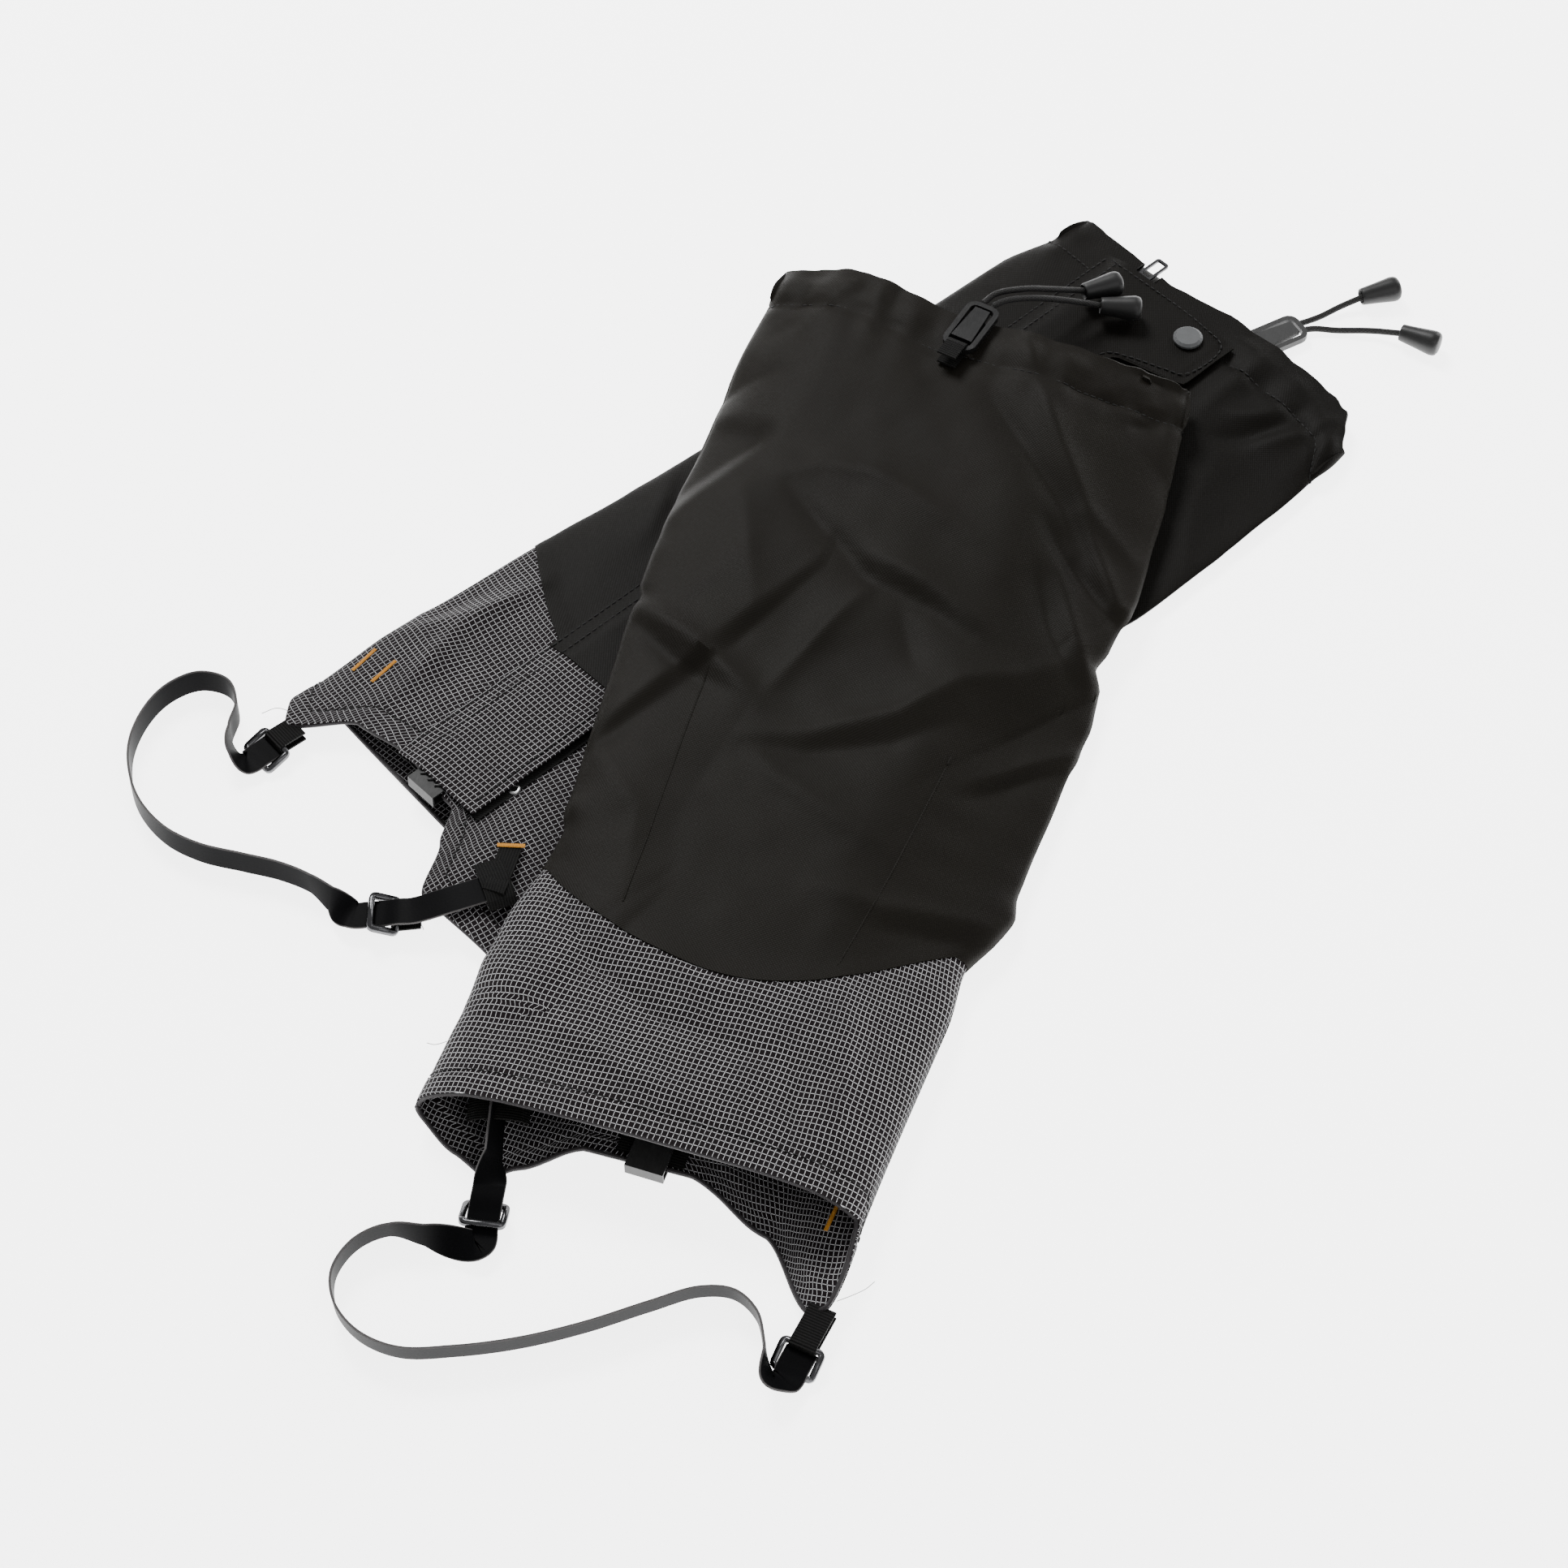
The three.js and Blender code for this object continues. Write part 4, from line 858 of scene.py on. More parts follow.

# %% [markdown]
# ## Webbing, rubber, metal and plastic
# Narrow webbing shows cross ribs, so its finish has fine ridges, and the gaps between them are coloured dark as painted
# shade.
# The strap is a satin rubber band whose cut edges are paler than its faces. Metal parts are dark and smooth, with
# faint scratches, and the plastics differ by their gloss.

# %% Hard finishes
RIBS_APART = 0.0012


def webbing_finish(name, angle):
    finish = Finish(name, Specular_IOR_Level=0.1)
    turned = finish.add("ShaderNodeMapping", None, {"Vector": finish.object_place(), "Rotation": (0, 0, -angle)})
    x, y, _ = finish.split(turned)
    rib = wave(y, RIBS_APART)
    strand = wave(x, RIBS_APART * 0.6)
    fuzz = finish.noise(turned, 0.0007, 2)
    relief = rib * 0.7 + strand * rib * 0.3 + fuzz * 0.3
    # The tone follows the relief, so the low gaps between the ribs are darker: painted shade.
    finish.feed("Base Color", finish.mix(relief, (0.0012, 0.0012, 0.0011, 1), (0.010, 0.0097, 0.0093, 1)))
    finish.feed("Roughness", 0.75 - fuzz * 0.15)
    finish.feed("Normal", finish.bump(relief, 0.0004, 0.9))
    return finish.material

# %% [markdown]
# ## Metal and plastic
# One recipe covers both: two noises, one of them stretched into scratches, vary the tone and the gloss.

# %% Metal and plastic
def hard_finish(name, dark, light, roughness, metallic=0.0, grain=0.004, bump=0.00006, **constants):
    """Plain metal or plastic: slow changes of tone, small scratches and a little relief."""
    finish = Finish(name, Metallic=metallic, **constants)
    place = finish.object_place()
    tone = finish.noise(place, grain, 3)
    stretched = finish.add("ShaderNodeMapping", None, {"Vector": place, "Scale": (1, 0.12, 1)})
    scratch = finish.noise(stretched, 0.0005, 2)
    finish.feed("Base Color", finish.mix(tone * 0.6 + scratch * 0.4, (*dark, 1), (*light, 1)))
    finish.feed("Roughness", roughness + scratch * 0.14 - tone * 0.06)
    finish.feed("Normal", finish.bump(scratch + tone, bump, 0.5))
    return finish.material

# %% [markdown]
# ## Rubber, cord and thread
# The strap's cut edges are paler than its faces. The cord is braided, so two sets of strands wind round it, and
# sewing thread shows a fine twist.

# %% Rubber, cord and thread
def rubber_strap():
    finish = Finish("rubber strap", Specular_IOR_Level=0.05, IOR=1.25)
    place = finish.cloth_place()
    across, along, _ = finish.split(place)
    edge = smooth(across.sum("ABSOLUTE"), 0.0060, 0.0064)
    grain = finish.noise(place, 0.0009, 3)
    cloud = finish.noise(place, 0.02, 2)
    face = finish.mix(cloud * 0.6 + grain * 0.4, (0.0018, 0.0018, 0.0020, 1), (0.0055, 0.0055, 0.006, 1))
    finish.feed("Base Color", finish.mix(edge * 0.8, face, (0.11, 0.105, 0.105, 1)))
    finish.feed("Roughness", 0.36 + grain * 0.12 + edge * 0.15)
    finish.feed("Normal", finish.bump(grain, 0.00008, 0.5))
    return finish.material


def braid():
    """Two sets of strands that wind round a cord in opposite ways."""
    finish = Finish("braided cord", Specular_IOR_Level=0.25)
    u, v, _ = finish.split(finish.cloth_place())
    strands = wave(u + v * 0.6, 0.0011).sum("MAXIMUM", wave(u - v * 0.6, 0.0011))
    fuzz = finish.noise(finish.cloth_place(), 0.0005, 2)
    # The tone follows the strands, so the grooves between them are darker: painted shade.
    finish.feed("Base Color", finish.mix(strands, (0.002, 0.002, 0.002, 1), (0.017, 0.0165, 0.016, 1)))
    finish.feed("Roughness", 0.6 + fuzz * 0.2)
    finish.feed("Normal", finish.bump(strands + fuzz * 0.3, 0.00025, 0.8))
    return finish.material


def thread_finish(name, dark, light):
    """Twisted sewing thread."""
    finish = Finish(name, Specular_IOR_Level=0.3)
    x, y, z = finish.split(finish.object_place())
    twist = wave(x + y + z, 0.0005)
    # The tone follows the twist, so its grooves are darker: painted shade.
    finish.feed("Base Color", finish.mix(twist, (*dark, 1), (*light, 1)))
    finish.feed("Roughness", 0.55 + twist * 0.15)
    finish.feed("Normal", finish.bump(twist, 0.0001, 0.6))
    return finish.material

# %% [markdown]
# ## The finishes in use
# Each finish is made once and shared. Tones are linear, so the blacks are very small numbers.

# %% Finishes in use
STRAP = rubber_strap()
BRAID = braid()
GUNMETAL = hard_finish("gunmetal", (0.035, 0.035, 0.037), (0.12, 0.12, 0.125), 0.22, 1.0)
HOOK_METAL = hard_finish("hook metal", (0.022, 0.022, 0.022), (0.06, 0.06, 0.06), 0.42, 0.7)
# The under gaiter's hook is the same hook as the over's. Its copy of the metal is rougher, and its darker tone is
# painted shade.
DULL_SHADED_HOOK_METAL = hard_finish("dull hook metal", (0.007, 0.007, 0.007), (0.024, 0.024, 0.024), 0.5, 0.6)
BRIGHT_METAL = hard_finish("worn steel", (0.28, 0.28, 0.28), (0.5, 0.5, 0.5), 0.28, 1.0)
CAP_PAINT = hard_finish("cap paint", (0.05, 0.052, 0.054), (0.085, 0.088, 0.09), 0.45, 0.3)
GLOSSY = hard_finish("glossy plastic", (0.004, 0.004, 0.004), (0.009, 0.009, 0.009), 0.16, grain=0.01, bump=0.00002)
MATT = hard_finish("matt plastic", (0.006, 0.006, 0.006), (0.013, 0.013, 0.013), 0.4, Specular_IOR_Level=0.3)
GREY_PLASTIC = hard_finish("grey plastic", (0.02, 0.02, 0.02), (0.035, 0.035, 0.035), 0.38, Specular_IOR_Level=0.3)
BLACK_THREAD = thread_finish("black thread", (0.0006, 0.0006, 0.0006), (0.003, 0.003, 0.0028))
ORANGE_THREAD = thread_finish("orange thread", (0.38, 0.15, 0.012), (0.78, 0.36, 0.045))
PALE_THREAD = thread_finish("pale thread", (0.10, 0.10, 0.10), (0.24, 0.24, 0.24))

# %% [markdown]
# ## Finishes for the pieces that keep their CAD shape
# Hooks, sliders, snaps, locks and folded webbing already have the right shape, so they only change their finish.
# The ribs of each piece of webbing are turned to run across it.

# %% Dress the CAD pieces
def dress(name, material):
    mesh = bpy.data.objects[name].data
    if not mesh.materials:
        mesh.materials.append(material)
    for index in range(len(mesh.materials)):
        mesh.materials[index] = material


HEADINGS = {
    "over_webbing_tab_left": 10, "over_webbing_tab_right": -8, "over_strap_keeper": 15, "over_lock_webbing": -12,
    "under_webbing_tab_left": -32.5, "under_webbing_tab_right": -72.5, "under_strap_keeper": -52.5,
    "under_lock_webbing": -42.5, "over_loop_strip": 0, "under_loop_strip": -28.6, "over_zip_tape_flap_side": 0,
    "over_zip_tape_free_side": 0, "under_zip_tape_flap_side": -28.6, "under_zip_tape_free_side": -28.6,
}
for name, heading in HEADINGS.items():
    dress(name, webbing_finish(f"webbing of {name}", math.radians(heading)))
ALIKE = {"zip_slider": GUNMETAL, "zip_pull": GUNMETAL, "snap_cap": CAP_PAINT, "snap_socket": BRIGHT_METAL}
PLAIN = {f"{gaiter.name}_{name}": material for gaiter in (over, under) for name, material in ALIKE.items()}
PLAIN |= {"over_lace_hook": HOOK_METAL, "under_lace_hook": DULL_SHADED_HOOK_METAL, "over_lock_lever": GLOSSY,
          "over_lock_frame": GLOSSY, "under_lock_lever": GREY_PLASTIC, "under_lock_frame": GREY_PLASTIC}
for name, material in PLAIN.items():
    dress(name, material)
print("dressed", len(HEADINGS) + len(PLAIN), "CAD pieces")

# %% [markdown]
# ## Lines through space
# Cords and straps follow smooth lines through the CAD model's stops. The same kind of spline keeps them inside
# the solids that stand for them. A tube or a band is then a ring of points carried along the line.

# %% Splines, tubes and bands
def spline(stops, count):
    """A centripetal spline through the stops, read at even shares of its parameter."""
    stops = np.array(stops, float)
    first, last = 2 * stops[0] - stops[1], 2 * stops[-1] - stops[-2]
    padded = np.concatenate([[first], stops, [last]])
    spots = np.linspace(0, len(stops) - 1, count)
    line = []
    for spot in spots:
        i = min(int(spot), len(stops) - 2)
        p = padded[i:i + 4, :3]
        t = [0.0]
        for a, b in zip(p[:-1], p[1:]):
            t.append(t[-1] + math.sqrt(np.linalg.norm(b - a)))
        at = t[1] + (t[2] - t[1]) * (spot - i)
        ends = [(p[k] * (t[k + 1] - at) + p[k + 1] * (at - t[k])) / (t[k + 1] - t[k]) for k in range(3)]
        near = [(ends[k] * (t[k + 2] - at) + ends[k + 1] * (at - t[k])) / (t[k + 2] - t[k]) for k in range(2)]
        line.append((near[0] * (t[2] - at) + near[1] * (at - t[1])) / (t[2] - t[1]))
    return np.array(line), spots

# %% [markdown]
# ## Lofts and tubes
# A tube or a band is a ring of points carried along a line, capped at both ends. Its map is in metres,
# so that a braid or a cut edge keeps its scale.

# %% Lofts and tubes
def lengths_along(line):
    """The distance from a line's start to each of its points."""
    return np.concatenate([[0], np.cumsum(np.linalg.norm(np.diff(line, axis=0), axis=1))])


def loft(name, rings, around, along, material):
    """A closed skin through rings of points, with a cap at each end and a map of its own size."""
    count, sides = rings.shape[:2]
    index = np.arange(count * sides).reshape(count, sides)
    after = np.roll(index, -1, axis=1)
    quads = np.stack([index[:-1], after[:-1], after[1:], index[1:]], axis=-1).reshape(-1, 4).tolist()
    faces = quads + [index[0][::-1].tolist(), index[-1].tolist()]
    u = np.repeat(around[None, :], count, axis=0)
    v = np.repeat(along[:, None], sides, axis=1)
    piece = new_piece(name, rings, faces, material, np.stack([u, v], axis=-1))
    in_edit_mode(piece, FACE_OUTWARDS)
    smooth_piece(piece, 40)
    return piece


NEVER_ALONG = (0.13, 0.2, 0.97)


def tube(name, line, radius, sides, material):
    """A round cord along a line in metres."""
    ahead = unit(np.gradient(line, axis=0))
    side = unit(np.cross(ahead, NEVER_ALONG))
    up = np.cross(side, ahead)
    turn = np.arange(sides) * 2 * math.pi / sides
    rings = line[:, None] + radius * (side[:, None] * np.cos(turn)[None, :, None]
                                      + up[:, None] * np.sin(turn)[None, :, None])
    along = lengths_along(line)
    return loft(name, rings, turn * radius, along, material)


# %% [markdown]
# ## The drawcord's free ends
# Two round braided cords leave each lock and arch away. Each ends in a moulded grip: a funnel mouth that takes
# the cord, a body that widens, and a domed foot. The grip starts as a circle that is extruded and resized ring by ring.

# %% Cord ends
def turned_piece(name, rings, sides, material):
    """A round piece made by extruding a circle up to each (radius, height), in millimetres, from the first one."""
    deselect()
    bpy.ops.mesh.primitive_circle_add(vertices=sides, radius=rings[0][0] * MM, location=(0, 0, 0))
    piece = bpy.context.object
    piece.name = name
    bpy.ops.object.mode_set(mode="EDIT")
    bpy.ops.mesh.select_all(action="SELECT")
    bpy.ops.transform.translate(value=(0, 0, rings[0][1] * MM))
    for (r0, h0), (r1, h1) in zip(rings[:-1], rings[1:]):
        move = {"value": (0, 0, (h1 - h0) * MM)}
        bpy.ops.mesh.extrude_region_move(TRANSFORM_OT_translate=move)
        bpy.ops.transform.resize(value=(r1 / r0, r1 / r0, 1), center_override=(0, 0, h1 * MM))
    bpy.ops.mesh.merge(type="CENTER")
    bpy.ops.mesh.select_all(action="SELECT")
    bpy.ops.mesh.normals_make_consistent(inside=False)
    bpy.ops.object.mode_set(mode="OBJECT")
    piece.data.materials.append(material)
    return piece


def place_mesh(piece, matrix):
    """Move the mesh, not its object, so that the object stays at the origin."""
    piece.data.transform(matrix)
    piece.matrix_world = Matrix.Identity(4)


GRIP = [(0.3, 4.5), (1.6, 4.3), (2.3, 3.4), (2.7, 1.6), (3.05, 0.25), (3.4, 0), (3.8, 0.2), (3.95, 0.8), (4.2, 3),
        (4.75, 7.5), (5.3, 11.5), (5.7, 14.4), (5.8, 15.6), (5.65, 16.9), (5.1, 18.0), (4.1, 18.6), (2.4, 18.95),
        (0.8, 19)]

# %% [markdown]
# ## Cord and grip together
# Each cord carries its grip, and both ride on the lock.

# %% Make the cords
CORD_DIAMETER = 0.0028


def cord_and_grip(gaiter, number, route, foot):
    """One free end of the drawcord, with its grip. The route is the CAD model's, in the gaiter's frame."""
    route = [Vector(p) for p in route]
    away = (Vector(foot) - route[-1]).normalized()
    mouth = route[-1] - away * 2.4
    line, _ = spline([tuple(p) for p in route], 90)
    world = to_world(gaiter, line)
    body = f"{gaiter.name}_lock"
    grip = turned_piece(f"{gaiter.name}_cord_grip_{number}", GRIP, 28, MATT)
    turn = away.to_track_quat("Z", "Y").to_matrix().to_4x4()
    scale = Matrix.Scale(1 / MM, 4)
    place_mesh(grip, gaiter.matrix @ Matrix.Translation(mouth) @ turn @ scale)
    smooth_piece(grip, 50)
    finish_piece(grip, body, [f"{gaiter.name}_cord_end_{number}"])
    cord = tube(f"{gaiter.name}_cord_{number}", world, CORD_DIAMETER / 2, 14, BRAID)
    finish_piece(cord, body, [f"{gaiter.name}_cord_tail_{number}"])


ROUTES = [
    (over, 1, [[4.2, 459.8, 40], [8, 466, 41], [19, 475, 39], [31, 486, 32], [43, 499, 22.5]], [59, 513, 21]),
    (over, 2, [[8.6, 459.3, 40], [14, 464, 40.8], [25, 472, 38], [39, 482, 31], [53, 492, 22.5]], [70, 497, 21]),
    (under, 1, [[17.9, 474.8, 3], [18.6, 479, 2.4], [20, 486, 2.2], [22, 496, 3.5], [26, 508, 6]], [33, 526, 6.2]),
    (under, 2, [[22.2, 474, 3], [24.6, 478.5, 2.4], [31, 485, 2.2], [42, 496, 3.5], [55, 505, 6]], [73, 513, 6.2]),
]
for route in ROUTES:
    cord_and_grip(*route)

# %% [markdown]
# ## Instep straps
# A flat rubber band runs from one buckle, under the boot's instep, to the other buckle, where it is adjusted.
# It stands on its edge as it lies here. Its edges are rounded slightly, so that they catch the light.

# %% Straps
STRAP_WIDTH = 13
ON_EDGE = 6.9


def beside_buckle(place, along, above, stand=0.0):
    x, y, z, heading = place
    turn = math.radians(heading)
    return [x + along * math.sin(turn), y - along * math.cos(turn), z + above, stand]


LEAN_TOWARDS = np.array([0.3, -0.95, 0.0])


def strap(gaiter, start, route, end, tail, lean):
    stops = [beside_buckle(start, *at) for at in ((-4, 0.5), (-1, 0.3), (4, 0), (10, 0.1))]
    stops += [[x, y, ON_EDGE, stand] for x, y, stand in route]
    stops += [beside_buckle(end, *at) for at in ((13, -0.8), (6, -0.5), (0, 0.4), (-6, 1.9), (-12, 2.6))] + tail
    line, spots = spline([s[:3] for s in stops], 420)
    stand = np.interp(spots, np.arange(len(stops)), [s[3] for s in stops]) * math.pi / 2
    ahead = unit(np.gradient(line, axis=0))
    sideways = unit(np.stack([ahead[:, 1], -ahead[:, 0], 0 * stand], axis=-1))
    upright = np.cross(sideways, ahead)
    across = -sideways * np.cos(stand)[:, None] + upright * np.sin(stand)[:, None]
    tip = LEAN_TOWARDS - ahead * (ahead @ LEAN_TOWARDS)[:, None]
    across = unit(across + tip * (lean * np.sin(stand) ** 2 * np.linspace(1, 0.6, len(line)))[:, None])
    through = np.cross(ahead, across)
    half, thick = STRAP_WIDTH / 2, 0.5
    section = [(-half, -0.22), (-half + 0.28, -thick), (-half + 1.2, -thick), (half - 1.2, -thick),
               (half - 0.28, -thick), (half, -0.22), (half, 0.22), (half - 0.28, thick), (half - 1.2, thick),
               (-half + 1.2, thick), (-half + 0.28, thick), (-half, 0.22)]
    rings = np.stack([line + across * a + through * b for a, b in section], axis=1)
    world = to_world(gaiter, rings)
    along = lengths_along(line) * MM
    piece = loft(f"{gaiter.name}_strap", world, np.array([a for a, _ in section]) * MM, along, STRAP)
    finish_piece(piece, "gaiters", [f"{gaiter.name}_instep_strap"])
    print(piece.name, "is", round(along[-1] * 1000), "mm long")

# %% [markdown]
# ## The two straps
# Each route repeats the CAD model's stops: x, y and how far the band stands on edge. The buckles' places
# and headings give the ends.

# %% The two straps
OVER_LEFT, OVER_RIGHT = (-48, -38, 6, 10), (86, -60, 4.2, -8)
UNDER_LEFT, UNDER_RIGHT = (-76, -35, 4.2, 0), (26, -48, 7, -40)
OVER_ROUTE = [
    [80, -73, 0.5], [74, -62, 1], [66, -48, 1], [55, -42, 1], [42, -45, 1], [26, -57, 1], [6, -73, 1], [-15, -87, 1],
    [-37, -98, 1], [-57, -105, 1], [-74, -103, 1], [-87, -94, 1], [-93, -81, 1], [-90, -66, 1], [-80, -56, 1],
    [-66, -54, 0.8]]
UNDER_ROUTE = [
    [-81, -47, 0.6], [-91, -43, 1], [-100, -33, 1], [-112, -29, 1], [-123, -36, 1], [-126, -50, 1], [-121, -66, 1],
    [-108, -82, 1], [-86, -93, 1], [-65, -94, 1], [-48, -88, 1], [-32, -77, 1], [-19, -68, 1], [-6, -62, 1],
    [6, -60, 0.8]]
strap(over, OVER_RIGHT, OVER_ROUTE, OVER_LEFT, [[-53, -14, 10, 0.7], [-57, 0, 11, 0.75], [-60, 14, 12, 0.7]], 0.27)
strap(under, UNDER_LEFT, UNDER_ROUTE, UNDER_RIGHT, [[41, -24, 12.4, 0], [45, -13, 12.8, 0], [47, -7, 12.6, 0]], 0.0)

# %% [markdown]
# ## Storm flaps
# A flap is sewn along one side of the zip and covers it. Its lower part is grid cloth and its upper part is black,
# and near the top it widens into a tab that holds the snap. It lies a little proud of the zip, and its free edge waves.

# %% Flaps
FLAP_SEWN, FLAP_REACH, TAB_REACH = -22, 26, 34
SEWN_HEIGHT, RAISED_HEIGHT = 0.9, 3.3
FLAP_WIDTHS = {"cuff": 0.048, "upper": 0.082}


def flap_level(x):
    return SEWN_HEIGHT + (RAISED_HEIGHT - SEWN_HEIGHT) * rise(FLAP_SEWN, -8, x)


def flap(gaiter, part, low, high, rows, material):
    y = np.linspace(low, high, rows)[None, :]
    t = np.linspace(0, 1, 44)[:, None]
    end = gaiter.tape_end + 2
    reach = FLAP_REACH + (TAB_REACH * rise(end - 48, end - 36, y) if part == "upper" else 0 * y)
    x = FLAP_SEWN + (reach - FLAP_SEWN) * t
    if part == "upper":
        y = y - rise(0.75, 1, t) * rise(end - 12, end, y) * 4
    free = rise(0.6, 1, t)
    z = flap_level(x) + free * 0.35 * ripple(y, 0 * y, 16, 3) + 0.2 * ripple(x, y, 12, 9)
    z = z - 0.35 * np.exp(-((x - reach + 4) / 0.9) ** 2)
    points = in_closure(gaiter, np.stack([x, y + 0 * x, z], axis=-1))
    flat = np.stack([x, y + 0 * x], axis=-1) * MM
    piece = cloth_sheet(f"{gaiter.name}_storm_flap_{part}", points, flat, material, CLOTH)
    finish_piece(piece, "gaiters", [f"{gaiter.name}_flap_{part}"])
    size = (FLAP_WIDTHS[part], round(float(high - low) * MM, 4))
    min(cloth_area(points), 0.99 * size[0] * size[1])
    print(piece.name, "fits a flat rectangle of", size, "m")


for gaiter in (over, under):
    flap(gaiter, "cuff", -2, 81.8, 40, FLAPS[gaiter.name])
    flap(gaiter, "upper", 82.2, gaiter.tape_end + 2, 150, UPPERS[gaiter.name])

# %% [markdown]
# ## Stitches, seams and bar tacks
# Every hem is held by a row of short stitches in black thread, and the loads at the ears by dense orange bar tacks.
# One stitch is modelled, a small six-sided bar with bevelled edges, and it is copied along each row.

# %% One stitch
deselect()
bpy.ops.mesh.primitive_cylinder_add(vertices=6, radius=0.5, depth=1, location=(0, 0, 0))
pattern = bpy.context.object
in_edit_mode(pattern, (bpy.ops.mesh.bevel, {"offset": 0.2, "segments": 1, "affect": "EDGES"}))
STITCH_POINTS = np.array([v.co for v in pattern.data.vertices])
STITCH_FACES = [list(f.vertices) for f in pattern.data.polygons]
bpy.data.objects.remove(pattern, do_unlink=True)
print("a stitch has", len(STITCH_FACES), "faces")

# %% [markdown]
# ## Copies of the stitch
# Thousands of stitches would be slow as objects, so all of one row are one mesh. Each copy is turned to its line and
# to the cloth's outward direction.

# %% Copies of the stitch
def stitches(name, spots, ahead, normals, length, width, material):
    """Copies of the stitch at spots in metres, along their directions, merged into one piece."""
    spots, ahead, normals = np.array(spots), np.array(ahead), np.array(normals)
    ahead = unit(ahead)
    side = unit(np.cross(ahead, normals))
    up = np.cross(side, ahead)
    x, y, z = STITCH_POINTS.T
    points = (spots[:, None] + side[:, None] * (x * width)[None, :, None] + up[:, None] * (y * width)[None, :, None]
              + ahead[:, None] * (z * length)[None, :, None])
    faces = [[i + k * len(STITCH_POINTS) for i in f] for k in range(len(spots)) for f in STITCH_FACES]
    piece = new_piece(name, points, faces, material)
    in_edit_mode(piece, FACE_OUTWARDS)
    smooth_piece(piece, 60)
    return finish_piece(piece, "gaiters")


STITCH_PITCH, STITCH_LENGTH, STITCH_WIDTH = 0.0034, 0.0023, 0.0008


def row(name, spots, normals, width=STITCH_WIDTH):
    """Stitches at an even pitch along a line of points in metres."""
    along = lengths_along(spots)
    at = np.arange(STITCH_PITCH, along[-1], STITCH_PITCH)
    even = np.stack([np.interp(at, along, spots[:, k]) for k in range(3)], axis=-1)
    facing = np.stack([np.interp(at, along, normals[:, k]) for k in range(3)], axis=-1)
    ahead = np.gradient(even, axis=0)
    return stitches(name, even, ahead, facing, STITCH_LENGTH, width, BLACK_THREAD)


# %% [markdown]
# ## Rows round each gaiter
# One row holds the drawcord's channel and one holds the hem. Both follow the wrinkled cloth and
# lie on its outer face.

# %% Rows on the shells
def shell_row(name, gaiter, phi, y, **size):
    normal = outward(gaiter, draped, phi, y)
    spots = to_world(gaiter, draped(gaiter, phi, y) + normal * (CLOTH / 2 + 0.15))
    return row(name, spots, normal @ (np.array(gaiter.matrix)[:3, :3] / MM).T, **size)


def round_angles(gaiter, y):
    """Angles from one edge of the closure to the other, at about one height."""
    left, right = [math.asin((gaiter.zip_x(y) + side * 8 - float(gaiter.centre(y))) / float(half_width(y)))
                   for side in (-1, 1)]
    return np.linspace(-math.pi - left, math.pi - right, 420)


for gaiter in (over, under):
    phi = round_angles(gaiter, 430)
    shell_row(f"{gaiter.name}_channel_stitches", gaiter, phi, top_height(gaiter, phi) - HEM_DEPTH)
    phi = round_angles(gaiter, 12)
    shell_row(f"{gaiter.name}_hem_stitches", gaiter, phi, hem_height(gaiter, phi) + 12, width=0.0007)

# %% [markdown]
# ## Rows on each flap
# Two rows sew the flap down, and one follows its free edge round the tab of the snap.

# %% Rows on the flaps
for gaiter in (over, under):
    end = gaiter.tape_end
    out = np.array(closure_matrix(gaiter))[:3, 2] / MM
    for number, x in enumerate((-20.5, -14)):
        y = np.linspace(2, end - 2, 200)
        line = np.stack([x + 0 * y, y, flap_level(x) + 0.55 + 0 * y], axis=-1)
        row(f"{gaiter.name}_flap_stitches_{number + 1}", in_closure(gaiter, line), np.tile(out, (200, 1)))
    edge = [(22, 2), (22, end - 47), (30, end - 41), (48, end - 34), (56, end - 30), (56, end - 6), (40, end - 2),
            (-18, end - 1.5)]
    line, _ = spline([(x, y, RAISED_HEIGHT + 0.45) for x, y in edge], 300)
    row(f"{gaiter.name}_flap_edge_stitches", in_closure(gaiter, line), np.tile(out, (300, 1)))

# %% [markdown]
# ## Rolled hem edges
# A folded edge is round, and here it is coloured darker than the cloth beside it as painted shade. A thin tube along
# the hem gives that edge.

# %% Rolled hem edges
def hem_roll(gaiter):
    """The folded edge of the cuff's hem: a roll coloured dark as painted shade, which hides the cloth's cut thickness.
    """
    phi = round_angles(gaiter, 2)
    y = hem_height(gaiter, phi)
    inset = outward(gaiter, draped, phi, y + 0.5) * 0.55
    spots = to_world(gaiter, draped(gaiter, phi, y) + [0, 0.35, 0] - inset)
    roll = tube(f"{gaiter.name}_hem_roll", spots, 1.0 * MM, 8, SHADED_HEM_EDGE)
    finish_piece(roll, "gaiters")


# The roll's dark tone is painted shade along the turn of the hem.
SHADED_HEM_EDGE = thread_finish("hem edge", (0.004, 0.003, 0.0035), (0.035, 0.031, 0.034))
for gaiter in (over, under):
    hem_roll(gaiter)

# %% [markdown]
# ## Seams and darts
# Darts shape the calf, and a panel seam runs beside the zip. A pressed seam is a low ridge, so a thin tube is half
# sunk in the cloth along its line.

# %% Darts and the panel seam
def seam_line(name, gaiter, points, on_front, radius=0.45):
    """A pressed seam: a thin cord of cloth half sunk in the panel."""
    line, _ = spline([(x, y, 0) for x, y in points], 120)
    spots, normals = spot_on(gaiter, line[:, 0], line[:, 1], on_front)
    piece = tube(name, spots - normals * 0.1 * MM, radius * MM, 8, UPPERS[gaiter.name])
    return finish_piece(piece, "gaiters")


